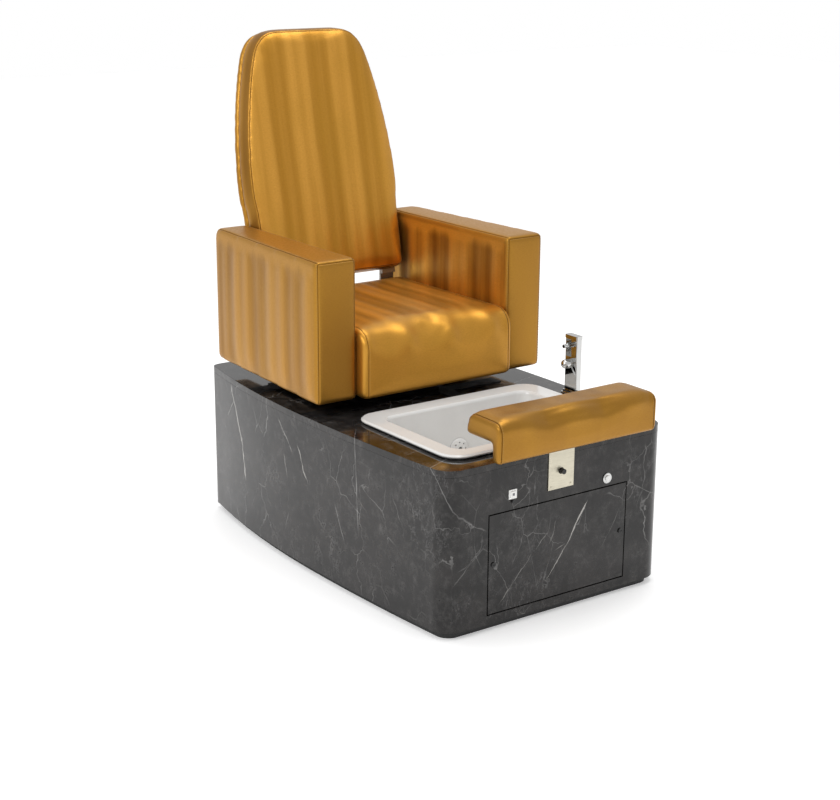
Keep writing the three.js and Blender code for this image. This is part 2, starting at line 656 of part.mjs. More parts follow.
// ---------------------------------------------------------------- swivel and seat
function buildPedestal() {
  const platesX = [-PEDESTAL_HALF, PEDESTAL_HALF];
  const platesY = [SWIVEL_Y - PEDESTAL_HALF, SWIVEL_Y + PEDESTAL_HALF];
  const race = (z0, z1) => turned([[70, z0], [110, z0], [110, z1], [70, z1], [70, z0]], 24);
  const lower = join(box(platesX, platesY, [DECK_Z + GAP, 464]), race(463, 474.5).translate(0, SWIVEL_Y, 0));
  const upper = join(box(platesX, platesY, [485.4, 491.2]), race(475, 486).translate(0, SWIVEL_Y, 0));
  place(cabinet, 'pedestal_base', lower, blackSteel);
  place(cabinet, 'swivel_pin', cylinderZ(14, [464.3, 485], 16), steel, [0, SWIVEL_Y, 0]);
  place(chair, 'swivel_plate', upper, blackSteel);
  const frameZ = [491.5, 496.6];
  const frame = join(
    box([-348, 348], [690, 740], frameZ),
    box([-338, 338], [1000, 1050], frameZ),
    box([-170, -120], [606, 1080], frameZ),
    box([120, 170], [606, 1080], frameZ),
  );
  place(chair, 'seat_frame', frame, blackSteel);
}

function seatProfile() {
  const [front, rear] = SEAT_Y;
  const shape = new THREE.Shape();
  shape.moveTo(front + 8, 500);
  shape.quadraticCurveTo(front, 500, front, 508);
  shape.lineTo(front, SEAT_TOP_Z - 50);
  shape.bezierCurveTo(front, SEAT_TOP_Z - 16, front + 24, SEAT_TOP_Z, front + 62, SEAT_TOP_Z);
  shape.lineTo(rear - 14, SEAT_TOP_Z - 3);
  shape.quadraticCurveTo(rear, SEAT_TOP_Z - 3, rear, SEAT_TOP_Z - 16);
  shape.lineTo(rear, SEAT_BOARD_Z + GAP);
  shape.lineTo(SEAT_BOARD_Y[0] - 1, SEAT_BOARD_Z + GAP);
  shape.lineTo(SEAT_BOARD_Y[0] - 1, 500);
  return shape;
}

function buildSeat() {
  const [frontY, rearY] = SEAT_BOARD_Y;
  const boardX = [-SEAT_BOARD_HALF, SEAT_BOARD_HALF];
  const boardBottomZ = SEAT_BOARD_Z - WALL;
  const riserZ = [ARM_Z[0], boardBottomZ - GAP];
  place(chair, 'seat_cushion', extrudeX(seatProfile(), [-SEAT_HALF, SEAT_HALF], 6), gold);
  place(chair, 'seat_board', box(boardX, SEAT_BOARD_Y, [boardBottomZ, SEAT_BOARD_Z]), plywood);
  place(chair, 'seat_riser_front', box(boardX, [frontY, frontY + WALL], riserZ), black);
  place(chair, 'seat_riser_rear', box(boardX, [rearY - WALL, rearY], riserZ), black);
}

// Arm seen from above: outer face closes in towards the back
function armOutline(side, inset, radius) {
  const y0 = ARM_Y[0] + inset;
  const y1 = ARM_Y[1] - inset;
  const corners = [
    [ARM_INNER[0] + inset, y0],
    [ARM_OUTER[0] - inset, y0],
    [ARM_OUTER[1] - inset, y1],
    [ARM_INNER[1] + inset, y1],
  ].map(([x, y]) => new THREE.Vector2(side * x, y));
  if (side < 0) corners.reverse();
  const shape = new THREE.Shape();
  corners.forEach((corner, i) => {
    const before = corners[(i + 3) % 4].clone().sub(corner).setLength(radius).add(corner);
    const after = corners[(i + 1) % 4].clone().sub(corner).setLength(radius).add(corner);
    if (i === 0) shape.moveTo(before.x, before.y);
    else shape.lineTo(before.x, before.y);
    shape.quadraticCurveTo(corner.x, corner.y, after.x, after.y);
  });
  return shape;
}

function buildArm(side, name) {
  const boardX = [side * 300, side * 318].sort((a, b) => a - b);
  const pocketX = [boardX[0] - GAP, boardX[1] + GAP];
  const cover = cut(
    extrudeZ(armOutline(side, 0, 12), ARM_Z, 4),
    box(pocketX, [590 - GAP, 1150 + GAP], [ARM_Z[0] - 5, 855 + GAP]),
  );
  place(chair, `arm_cover_${name}`, cover, gold);
  place(chair, `arm_board_${name}`, box(boardX, [590, 1150], [ARM_Z[0], 855]), plywood);
}

// ---------------------------------------------------------------- back
function backOutline() {
  const [low, high] = BACK_Z;
  const half = (side) => {
    const points = new THREE.Path();
    points.moveTo(side * 232, low);
    points.quadraticCurveTo(side * 250, low, side * 250, low + 18);
    points.lineTo(side * 253, 310);
    points.bezierCurveTo(side * 254, 350, side * 261, 365, side * 261, 400);
    points.bezierCurveTo(side * 261, 530, side * 235, 680, side * 205, 780);
    points.bezierCurveTo(side * 193, 820, side * 172, high, side * 105, high);
    return points.getPoints(6);
  };
  return new THREE.Shape([...half(1), ...half(-1).reverse()]);
}

function buildBack() {
  const [x0, x1] = UPRIGHT_X;
  const pocketY = [-39, BACK_SPLIT + 5];
  const pockets = [[x0 - 1, x1 + 1], [-x1 - 1, -x0 + 1]].map((x) => box(x, pocketY, [BACK_Z[0] - 5, 330]));
  const outline = backOutline();
  place(back, 'back_cushion', cut(extrudeY(outline, [BACK_FRONT, BACK_SPLIT]), ...pockets), gold);
  place(back, 'back_panel', extrudeY(outline, [BACK_SPLIT + GAP, BACK_REAR]), gold);

  for (const [side, name] of [[-1, 'left'], [1, 'right']]) {
    const x = side > 0 ? [x0, x1] : [-x1, -x0];
    const middle = (x[0] + x[1]) / 2;
    const eye = [middle - 15, middle + 15];
    // The plate stands upright from the pin to below the back, then follows the back's slope
    const lower = box(x, [-4, 4], [14.6, 140]);
    const upper = box(x, [-38, -29.5], [108, 320]);
    const standing = new THREE.Matrix4().makeRotationX(LEAN);
    const eyeRing = cylinderX(14.4, eye, 16);
    const neck = box(eye, [-4, 4], [8, 20]);
    const upright = cut(
      join(lower.applyMatrix4(standing), neck.applyMatrix4(standing), eyeRing, upper),
      cylinderX(6.4, [eye[0] - 5, eye[1] + 5], 16),
    );
    place(back, `back_upright_${name}`, upright, steel);

    const ear = (ex) => join(box(ex, [1090 - PIVOT[0], 0], [-14, 14]), cylinderX(14, ex, 16));
    const ears = [[eye[0] - 8.5, eye[0] - 0.5], [eye[1] + 0.5, eye[1] + 8.5]];
    const bracket = cut(
      join(box(x, [1084 + GAP - PIVOT[0], 1091 - PIVOT[0]], [-60, 20]), ear(ears[0]), ear(ears[1])),
      cylinderX(6.4, [x[0] - 5, x[1] + 5], 16),
    );
    const at = [0, PIVOT[0], PIVOT[1]];
    place(chair, `recline_bracket_${name}`, bracket, blackSteel, at);
    const pin = join(
      cylinderX(6, [ears[0][0] - 1, ears[1][1] + 1], 12),
      cylinderX(9, [ears[0][0] - 4, ears[0][0] - 0.5], 12),
      cylinderX(9, [ears[1][1] + 0.5, ears[1][1] + 4], 12),
    );
    place(chair, `recline_pin_${name}`, pin, steel, at);
  }
}

buildCabinet();
buildAccessPanel();
buildBasin();
buildJet();
buildDrain();
buildFaucet();
buildSupply();
buildElectrics();
buildControls();
buildFootrest();
buildPedestal();
buildSeat();
buildArm(-1, 'left');
buildArm(1, 'right');
buildBack();

export default spa;
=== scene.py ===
"""Pedicure spa chair: upholstery, laminate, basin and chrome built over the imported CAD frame."""

import math

import bmesh
import bpy
from mathutils import Matrix, Vector
from mathutils.bvhtree import BVHTree
from mathutils.kdtree import KDTree


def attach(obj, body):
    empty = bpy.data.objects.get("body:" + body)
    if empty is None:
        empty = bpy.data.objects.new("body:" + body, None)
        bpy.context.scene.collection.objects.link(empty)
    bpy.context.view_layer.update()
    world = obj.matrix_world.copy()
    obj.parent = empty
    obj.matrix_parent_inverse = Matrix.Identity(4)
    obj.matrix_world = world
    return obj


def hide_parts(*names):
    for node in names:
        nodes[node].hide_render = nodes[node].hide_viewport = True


# ---------------- dimensions, in millimetres
ORIGIN_Y = 613  # from the cabinet's front face to the middle of the footprint
PIVOT = (1112, 590)  # recline pin: y, z
LEAN = math.radians(12.2)

ARM_Y = (564, 1173)
ARM_Z = (497.6, 892)
ARM_THICK = 127
ARM_OUTER = (389, 355)  # x of the outer face at the front and at the rear
ARM_INNER = (262, 259)
SEAT_HALF = 258
SEAT_FRONT = 530
REST_HALF = 262
BACK_Z = (125, 866)  # above the recline pin, before the back is leaned
SWITCH = (-160, 364)  # x, z of the middle of the switch
SCREWS = ((-33, 357), (33, 357))  # x, z of the footrest plate's screws

# Folds of the vinyl: spacing, and where the middle of a pair of bright folds lies
ARM_FOLDS = (210, 788)
BACK_FOLDS = (150, -60)
SEAT_FOLDS = (145, 33)
REST_FOLDS = (184, -10)
FOLD_BROAD, FOLD_NARROW = 0.62, 0.38  # shares of the broad and the narrow wave in a fold

# In metres: the heights of the folds and humps, then the sizes of the meshes and seams
ARM_FOLD_HEIGHT = 0.0022
SEAT_HUMP_HEIGHT = 0.0052
SEAT_FOLD_HEIGHT = 0.0014
REST_HUMP_HEIGHT = 0.0070
REST_END_FALL = 0.0065
BACK_FOLD_HEIGHT = 0.0011
VOXEL, REST_VOXEL = 0.0065, 0.0045
SEAM_STEP = 0.002
SEAM_REACH = 0.0065  # how far from a seam the mesh is refined
STITCH_GAP = 0.003  # from a seam to the row of stitches beside it
WELD_GAP = 0.00001

CORNER_ANGLE = math.radians(38)
SIM_FRAMES = 20

# The camera: its place in metres, its angles and its lens in millimetres; then the world's light
CAMERA_AT = (-2.7203, -3.7503, 1.7928)
CAMERA_AZIMUTH = math.radians(-35.85)
CAMERA_ELEVATION = math.radians(16.28)
CAMERA_ROLL = math.radians(0.39)
LENS = 71.81
WORLD_LIT, WORLD_SHOWN = 0.75, 1.0

# Colours, linear
# The vinyl's own colour, spread between a dark and a light colour for the painted reflections of its folds
VINYL_DARK = (0.315, 0.142, 0.010)
VINYL_LIGHT = (0.620, 0.312, 0.054)
VINYL_CAST = (0.460, 0.235, 0.024)
VINYL_BRUSHED = (0.180, 0.080, 0.010)
# Painted shade and painted highlight for the arms' faces beside the sitter
INNER_SHADE = (0.190, 0.072, 0.004)
INNER_HIGHLIGHT = (0.900, 0.490, 0.085)
# Painted shade on the strip around the back's cushion
BAND_SHADE = (0.130, 0.052, 0.006)
STONE_DARK = (0.0045, 0.0037, 0.0034)
STONE_CLOUD = (0.0180, 0.0157, 0.0148)
STONE_SPECK = (0.090, 0.085, 0.082)
STONE_WISP = (0.140, 0.132, 0.128)
STONE_CRACK = (0.44, 0.43, 0.42)
STONE_SMOKE = (0.34, 0.33, 0.33)
STONE_VEIN = (0.50, 0.48, 0.45)

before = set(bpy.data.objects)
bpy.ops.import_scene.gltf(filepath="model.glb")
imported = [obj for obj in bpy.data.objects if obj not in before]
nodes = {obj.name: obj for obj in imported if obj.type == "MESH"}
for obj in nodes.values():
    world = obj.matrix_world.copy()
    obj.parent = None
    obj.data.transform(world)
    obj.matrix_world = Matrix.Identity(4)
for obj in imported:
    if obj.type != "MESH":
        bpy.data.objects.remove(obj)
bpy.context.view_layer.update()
scene = bpy.context.scene


def at(x, y, z):
    """Millimetres, with y from the cabinet's front face, as a point of the frame in metres."""
    return Vector((x / 1000, (y - ORIGIN_Y) / 1000, z / 1000))


def leaned(x, y, z):
    """A point beside the recline pin, before the back is leaned, as a point of the frame."""
    c, s = math.cos(LEAN), math.sin(LEAN)
    return at(x, PIVOT[0] + y * c + z * s, PIVOT[1] - y * s + z * c)


def frame_mm(point):
    """A point of the frame in millimetres, with y from the cabinet's front face."""
    return point.x * 1000, point.y * 1000 + ORIGIN_Y, point.z * 1000


def beside_pin(point):
    """A point of the frame as x, y, z beside the pin, with the lean taken off."""
    x, y, z = frame_mm(point)
    y, z = y - PIVOT[0], z - PIVOT[1]
    c, s = math.cos(LEAN), math.sin(LEAN)
    return x, y * c - z * s, y * s + z * c


def mix(a, b, t):
    return a + (b - a) * t


def limited(value):
    """A value held between 0 and 1."""
    return max(0.0, min(1.0, value))


def rise(value, low, high):
    """0 below low, 1 above high and smooth between them."""
    t = limited((value - low) / (high - low))
    return t * t * (3 - 2 * t)


def fold(position, folds):
    """Height of the vinyl's folds at a place across them, from -1 to 1: pairs of crests."""
    spacing, middle = folds
    phase = 2 * math.pi * (position - middle) / spacing
    return FOLD_BROAD * math.cos(phase) - FOLD_NARROW * math.cos(3 * phase)


def shaded(colour, gain):
    return tuple(channel * gain for channel in colour)


# ---------------- node materials
class Look:
    """A material and short ways to add nodes to it."""

    def __init__(self, name, **sockets):
        self.material = bpy.data.materials.new(name)
        self.material.use_nodes = True
        self.tree = self.material.node_tree
        self.shader = next(n for n in self.tree.nodes if n.type == "BSDF_PRINCIPLED")
        for key, value in sockets.items():
            self.shader.inputs[key.replace("_", " ")].default_value = value
        self.coordinates = self.tree.nodes.new("ShaderNodeTexCoord").outputs["Object"]

    def link(self, source, target):
        if isinstance(source, (int, float)):
            target.default_value = source
        elif isinstance(source, tuple):
            target.default_value = source if len(source) == len(target.default_value) else (*source, 1)
        else:
            self.tree.links.new(source, target)

    def axes(self):
        """The object coordinates x, y and z in metres."""
        split = self.tree.nodes.new("ShaderNodeSeparateXYZ")
        self.link(self.coordinates, split.inputs[0])
        return split.outputs

    def millimetres(self, axis):
        """The coordinate along an axis, with y from the cabinet's front face."""
        value = self.math("MULTIPLY", self.axes()[axis], 1000)
        return self.math("ADD", value, ORIGIN_Y) if axis == 1 else value

    def math(self, operation, *values):
        node = self.tree.nodes.new("ShaderNodeMath")
        node.operation = operation
        for value, socket in zip(values, node.inputs):
            self.link(value, socket)
        return node.outputs[0]

    def scaled(self, scale, turn=(0, 0, 0), offset=(0, 0, 0)):
        node = self.tree.nodes.new("ShaderNodeMapping")
        self.link(self.coordinates, node.inputs["Vector"])
        node.inputs["Scale"].default_value = scale
        node.inputs["Rotation"].default_value = turn
        node.inputs["Location"].default_value = offset
        return node.outputs[0]

    def noise(self, vector, scale, detail=2, roughness=0.5, distortion=0):
        node = self.tree.nodes.new("ShaderNodeTexNoise")
        self.link(vector, node.inputs["Vector"])
        node.inputs["Scale"].default_value = scale
        node.inputs["Detail"].default_value = detail
        node.inputs["Roughness"].default_value = roughness
        node.inputs["Distortion"].default_value = distortion
        return node.outputs[0]

    def uneven(self, vector, scale, **shape):
        """Noise about zero."""
        return self.math("SUBTRACT", self.noise(vector, scale, **shape), 0.5)

    def voronoi(self, vector, scale, feature="F1"):
        node = self.tree.nodes.new("ShaderNodeTexVoronoi")
        node.feature = feature
        self.link(vector, node.inputs["Vector"])
        node.inputs["Scale"].default_value = scale
        return node.outputs["Distance"]

    def ramp(self, value, low, high, a=0, b=1):
        node = self.tree.nodes.new("ShaderNodeMapRange")
        node.interpolation_type = "SMOOTHSTEP"
        self.link(value, node.inputs[0])
        for socket, number in zip(list(node.inputs)[1:5], (low, high, a, b)):
            socket.default_value = number
        return node.outputs[0]

    def blend(self, factor, a, b):
        node = self.tree.nodes.new("ShaderNodeMix")
        node.data_type = "RGBA"
        self.link(factor, node.inputs[0])
        self.link(a, node.inputs[6])
        self.link(b, node.inputs[7])
        return node.outputs[2]

    def bump(self, height, distance, strength, under=None):
        node = self.tree.nodes.new("ShaderNodeBump")
        node.inputs["Strength"].default_value = strength
        node.inputs["Distance"].default_value = distance
        self.link(height, node.inputs["Height"])
        if under is not None:
            self.link(under, node.inputs["Normal"])
        return node.outputs[0]

    def output(self, **sockets):
        for key, value in sockets.items():
            self.link(value, self.shader.inputs[key.replace("_", " ")])
        return self.material


VINYL_STREAKS = (
    # frequency across the folds and along them, detail, roughness, strength
    (20, 1.2, 2, 0.45, 1.3),
    (75, 1.6, 3, 0.60, 1.1),
)


def vinyl_sheen_tone(look, axis, folds, contrast, lift, plain):
    """How light the hide is painted between its dark and its light colour, from 0 to 1: bands that follow
    the folds and paint their reflections, broken up by random streaks, with a painted highlight towards the
    upper edge where lift is given.
    """
    spacing, middle = folds
    drift = look.uneven(look.scaled((4, 4, 2.2)), 1.0, detail=2)
    position = look.math("ADD", look.millimetres(axis), look.math("MULTIPLY", drift, 20))
    turn = look.math("MULTIPLY", look.math("SUBTRACT", position, middle), 2 * math.pi / spacing)
    broad = look.math("MULTIPLY", look.math("COSINE", turn), FOLD_BROAD)
    narrow = look.math("MULTIPLY", look.math("COSINE", look.math("MULTIPLY", turn, 3)), -FOLD_NARROW)
    wave = look.math("ADD", broad, narrow)
    for across, along, detail, roughness, strength in VINYL_STREAKS:
        scale = [along, along, along]
        scale[axis] = across
        streak = look.uneven(look.scaled(scale), 1.0, detail=detail, roughness=roughness)
        wave = look.math("ADD", wave, look.math("MULTIPLY", streak, strength))
    # Painted highlight: near the upper edge the tone rises to the light colour, and the bands fade into it
    if lift:
        wave = look.math("ADD", wave, look.ramp(look.millimetres(2), *lift, 0, 2.1))
    tone = look.ramp(wave, -1.15, 1.15)
    tone = look.math("ADD", look.math("MULTIPLY", tone, contrast), 0.5 - 0.5 * contrast)
    if plain:
        even_axis, low, high = plain
        even = look.ramp(look.millimetres(even_axis), low, high)
        tone = look.math("ADD", look.math("MULTIPLY", look.math("SUBTRACT", tone, 0.48), even), 0.48)
    return tone


def inner_light_mask(look):
    """1 on the arms' faces beside the sitter, short of their top and front edges: where lighter highlights
    and deeper shade are painted.
    """
    mask = look.ramp(look.math("ABSOLUTE", look.millimetres(0)), 278, 300, 1, 0)
    mask = look.math("MULTIPLY", mask, look.ramp(look.millimetres(2), 872, 884, 1, 0))
    return look.math("MULTIPLY", mask, look.ramp(look.millimetres(1), 568, 580))


def band_shade_mask(look):
    """How much shade is painted on the strip around the back's cushion, from its front to its rear."""
    depth = look.math("SUBTRACT", look.millimetres(1), PIVOT[0])
    height = look.math("SUBTRACT", look.millimetres(2), PIVOT[1])
    depth = look.math("MULTIPLY", depth, math.cos(LEAN))
    depth = look.math("SUBTRACT", depth, look.math("MULTIPLY", height, math.sin(LEAN)))
    strip = look.math("MULTIPLY", look.ramp(depth, -79, -74), look.ramp(depth, -60, -44, 0.62, 0.34))
    return look.math("ADD", strip, look.ramp(depth, -38, -26, 0, 0.3))


def vinyl(name, axis, folds, contrast=1.0, gain=1.0, lift=None, plain=None, inner=False, band=False):
    """Bronze-gold upholstery vinyl with soft light and dark bands along its folds, painted reflections of
    the folds.

    axis is the axis across the folds, and gain paints the whole piece lighter or darker: painted
    light and shade for how the light falls on it. lift (z0, z1) is where the bands fade into a painted
    highlight along the upper edge, and plain (axis, from, to) where they fade out altogether; all in
    millimetres. inner paints lighter highlights and deeper shade on the faces beside the sitter, and
    band paints shade on the strip around the back's cushion.
    """
    look = Look(name, Metallic=0.87, Specular_IOR_Level=0.3, Coat_Weight=0.08, Coat_Roughness=0.40)
    # gain paints the piece lighter or darker all over: painted light and shade for how the light falls on it
    dark, light = shaded(VINYL_DARK, gain), shaded(VINYL_LIGHT, gain)
    # Paints lighter highlights and deeper shade on the faces beside the sitter
    if inner:
        beside = inner_light_mask(look)
        dark, light = look.blend(beside, dark, INNER_SHADE), look.blend(beside, light, INNER_HIGHLIGHT)
    colour = look.blend(vinyl_sheen_tone(look, axis, folds, contrast, lift, plain), dark, light)
    # Paints shade on the strip around the back's cushion
    if band:
        colour = look.blend(band_shade_mask(look), colour, BAND_SHADE)
    cast = look.ramp(look.noise(look.scaled((9, 9, 3), offset=(7.7, 2.2, 5.0)), 1.0, detail=2), 0.42, 0.66)
    colour = look.blend(look.math("MULTIPLY", cast, 0.25), colour, VINYL_CAST)
    brushed = look.noise(look.scaled((150, 150, 900) if axis == 1 else (150, 900, 900)), 1.0, detail=3)
    colour = look.blend(look.ramp(brushed, 0.35, 0.78, 0, 0.20), colour, VINYL_BRUSHED)
    grain = look.voronoi(look.coordinates, 820)
    surface = look.bump(brushed, 0.0004, 0.30)
    surface = look.bump(grain, 0.0003, 0.28, under=surface)
    return look.output(Base_Color=colour, Roughness=look.ramp(brushed, 0.2, 0.8, 0.33, 0.46), Normal=surface)


def vein_mask(look, start, end, width, wander, plane):
    """A mask that is 1 along a wandering line from start to end, in millimetres of two axes."""
    (u0, v0), (u1, v1) = start, end
    length = math.hypot(u1 - u0, v1 - v0)
    du, dv = (u1 - u0) / length, (v1 - v0) / length
    axes = look.axes()
    axis_u, axis_v = plane
    u = look.math("SUBTRACT", axes[axis_u], u0 / 1000)
    v = look.math("SUBTRACT", axes[axis_v], v0 / 1000)
    along = look.math("ADD", look.math("MULTIPLY", u, du), look.math("MULTIPLY", v, dv))
    across = look.math("SUBTRACT", look.math("MULTIPLY", v, du), look.math("MULTIPLY", u, dv))
    drift = look.uneven(look.coordinates, 14, detail=4, roughness=0.6)
    across = look.math("ADD", across, look.math("MULTIPLY", drift, wander / 1000))
    swell = look.ramp(look.noise(look.coordinates, 30, detail=3), 0.3, 0.7, 0.3, 1.25)
    reach = look.math("MULTIPLY", swell, width / 1000)
    near = look.math("DIVIDE", look.math("ABSOLUTE", across), reach)
    line = look.ramp(near, 0.3, 1.0, 1, 0)
    ends = look.math(
        "MULTIPLY",
        look.ramp(along, 0, 0.02),
        look.ramp(along, length / 1000 - 0.03, length / 1000, 1, 0),
    )
    return look.math("MULTIPLY", line, ends)


PANEL_VEINS = (
    # on the access panel: x, z of both ends, width, wander, strength
    ((96, 300), (22, 176), 3.4, 16, 0.80),
    ((30, 192), (-44, 92), 2.0, 22, 0.55),
    ((24, 190), (-20, 176), 2.2, 10, 0.55),
    ((-6, 270), (-34, 190), 1.4, 18, 0.30),
    ((-34, 236), (-84, 186), 1.3, 16, 0.30),
    ((-84, 186), (-205, 60), 1.8, 26, 0.28),
    ((214, 250), (150, 140), 1.2, 14, 0.22),
)

SIDE_VEINS = (
    # on the left wall: y, z of both ends in the frame, width, wander, strength
    ((462, 440), (386, 280), 5.0, 30, 0.62),
    ((396, 300), (364, 160), 6.0, 34, 0.70),
    ((500, 330), (440, 400), 3.0, 30, 0.30),
    ((150, 420), (66, 330), 2.6, 30, 0.42),
    ((46, 372), (-14, 262), 3.4, 30, 0.50),
    ((120, 330), (96, 240), 2.2, 26, 0.30),
    ((-250, 300), (-300, 262), 2.0, 24, 0.22),
)


def crack_mask(look, scale, width, stretch, turn, offset, share):
    """Thin straight branching lines that come and go; share is where the noise lets them show."""
    bend = look.uneven(look.coordinates, 8, detail=4, roughness=0.55)
    shifted = look.tree.nodes.new("ShaderNodeVectorMath")
    shifted.operation = "ADD"
    look.link(look.scaled(stretch, turn=turn, offset=offset), shifted.inputs[0])
    look.link(look.math("MULTIPLY", bend, 0.075), shifted.inputs[1])
    edge = look.voronoi(shifted.outputs[0], scale, "DISTANCE_TO_EDGE")
    swell = look.ramp(look.noise(look.coordinates, 24, detail=3), 0.3, 0.7, 0.25, 1.3)
    line = look.ramp(look.math("DIVIDE", edge, look.math("MULTIPLY", swell, width)), 0.25, 1.0, 1, 0)
    patch = look.ramp(look.noise(look.scaled((1, 1, 1), offset=offset), 4.4, detail=3), share, share + 0.12)
    return look.math("MULTIPLY", line, patch)


CRACKS = (
    # scale, width, stretch, turn, offset, share, strength
    (3.0, 0.0060, (1.0, 1.0, 0.42), (0.0, 0.55, 0.2), (4.3, 1.1, 7.2), 0.53, 0.34),
    (5.6, 0.0095, (1.0, 1.0, 0.50), (0.3, -0.35, 0.5), (5.3, 0.9, 2.2), 0.52, 0.26),
    (11.0, 0.0140, (1.0, 1.0, 0.62), (0.6, 0.85, 0.1), (8.1, 3.3, 6.4), 0.50, 0.20),
)


def smoke_mask(look, scale, width, offset, low):
    """Fine wandering smoky lines, where a noise crosses its middle; low is where they show."""
    field = look.noise(look.scaled((1, 1, 0.62), offset=offset), scale, detail=5, roughness=0.66)
    line = look.ramp(look.math("ABSOLUTE", look.math("SUBTRACT", field, 0.5)), 0, width, 1, 0)
    patch = look.ramp(look.noise(look.scaled((1, 1, 1), offset=offset), 6.5, detail=3), low, low + 0.16)
    return look.math("MULTIPLY", line, patch)


SMOKE = (
    # scale, width, offset, low, strength
    (9.0, 0.010, (2.1, 6.4, 3.9), 0.54, 0.16),
    (21.0, 0.016, (7.7, 1.2, 8.8), 0.50, 0.15),
)


def marble(name, veins, plane):
    """Charcoal laminate printed with white marble veins, polished to a mirror.

    veins lie in the plane of two axes: (0, 2) for the access panel, (1, 2) for the left wall.
    """
    look = Look(name, Specular_IOR_Level=0.5, IOR=1.42)
    cloud = look.noise(look.coordinates, 5.0, detail=6, roughness=0.62, distortion=0.8)
    speck = look.noise(look.coordinates, 40, detail=6, roughness=0.74)
    wisp = look.noise(look.scaled((1, 1, 0.45), turn=(0, 0.5, 0)), 26, detail=5, roughness=0.66)
    colour = look.blend(look.ramp(cloud, 0.36, 0.68), STONE_DARK, STONE_CLOUD)
    colour = look.blend(look.ramp(speck, 0.44, 0.78, 0, 0.42), colour, STONE_SPECK)
    colour = look.blend(look.ramp(wisp, 0.56, 0.74, 0, 0.18), colour, STONE_WISP)
    for *shape, strength in CRACKS:
        mask = look.math("MULTIPLY", crack_mask(look, *shape), strength)
        colour = look.blend(mask, colour, STONE_CRACK)
    for *shape, strength in SMOKE:
        mask = look.math("MULTIPLY", smoke_mask(look, *shape), strength)
        colour = look.blend(mask, colour, STONE_SMOKE)
    for start, end, width, wander, strength in veins:
        mask = vein_mask(look, start, end, width, wander, plane)
        colour = look.blend(look.math("MULTIPLY", mask, strength), colour, STONE_VEIN)
    smear = look.noise(look.coordinates, 9, detail=4, roughness=0.6)
    return look.output(Base_Color=colour, Roughness=look.ramp(smear, 0.3, 0.7, 0.045, 0.085))


def acrylic(name):
    """Glossy white sheet acrylic with a faint film."""
    look = Look(name, Specular_IOR_Level=0.5, Coat_Weight=0.35, Coat_Roughness=0.04)
    film = look.noise(look.coordinates, 7, detail=4, roughness=0.6)
    colour = look.blend(look.ramp(film, 0.3, 0.75), (0.72, 0.715, 0.70), (0.67, 0.665, 0.65))
    ripple = look.noise(look.coordinates, 26, detail=2)
    return look.output(
        Base_Color=colour,
        Roughness=look.ramp(film, 0.3, 0.7, 0.10, 0.18),
        Normal=look.bump(ripple, 0.0015, 0.10),
    )


def metal(name, colour, rough, streaks=None, dull=0.5):
    """Bare metal; streaks stretches its fine lines along an axis for a brushed finish."""
    look = Look(name, Metallic=1.0)
    smear = look.noise(look.coordinates, 38, detail=4, roughness=0.65)
    darker = shaded(colour, dull)
    tone = look.blend(look.ramp(smear, 0.4, 0.9, 0, 0.35), colour, darker)
    if streaks is None:
        return look.output(Base_Color=tone, Roughness=look.ramp(smear, 0.3, 0.8, rough, rough * 2.2))
    lines = look.noise(look.scaled(streaks), 1.0, detail=4, roughness=0.7)
    tone = look.blend(look.ramp(lines, 0.35, 0.75, 0, 0.35), tone, darker)
    return look.output(
        Base_Color=tone,
        Roughness=look.ramp(lines, 0.3, 0.7, rough, rough * 1.6),
        Normal=look.bump(lines, 0.0002, 0.35),
    )


def moulded(name, colour, rough, texture=0.25, shine=0.5):
    """Moulded plastic, rubber or paint with a fine even texture and faint handling marks."""
    look = Look(name, Specular_IOR_Level=shine)
    marks = look.noise(look.coordinates, 22, detail=5, roughness=0.65)
    lighter = tuple(min(1.0, c * 1.5 + 0.01) for c in colour)
    grit = look.noise(look.coordinates, 1400, detail=2)
    return look.output(
        Base_Color=look.blend(look.ramp(marks, 0.45, 0.85, 0, 0.5), colour, lighter),
        Roughness=look.ramp(marks, 0.3, 0.8, rough, min(1.0, rough * 1.5)),
        Normal=look.bump(grit, 0.0002, texture),
    )


def rocker(name):
    """The white switch with a plain dark square printed on it."""
    look = Look(name, Specular_IOR_Level=0.5)
    away = [
        look.math("ABSOLUTE", look.math("SUBTRACT", look.millimetres(axis), middle))
        for axis, middle in ((0, SWITCH[0]), (2, SWITCH[1]))
    ]
    mark = look.ramp(look.math("MAXIMUM", *away), 3.4, 4.0, 1, 0)
    grit = look.noise(look.coordinates, 900, detail=2)
    return look.output(
        Base_Color=look.blend(mark, (0.80, 0.80, 0.78), (0.16, 0.16, 0.17)),
        Roughness=look.ramp(grit, 0.3, 0.7, 0.20, 0.28),
    )


def plywood(name):
    """Bare birch plywood."""
    look = Look(name, Specular_IOR_Level=0.3)
    rings = look.noise(look.scaled((9, 1.2, 9)), 4.0, detail=5, roughness=0.6, distortion=0.6)
    fibre = look.noise(look.scaled((240, 12, 240)), 1.0, detail=3)
    colour = look.blend(look.ramp(rings, 0.35, 0.7), (0.50, 0.335, 0.185), (0.355, 0.215, 0.105))
    colour = look.blend(look.ramp(fibre, 0.4, 0.8, 0, 0.3), colour, (0.25, 0.14, 0.06))
    return look.output(Base_Color=colour, Roughness=0.62, Normal=look.bump(fibre, 0.0004, 0.3))


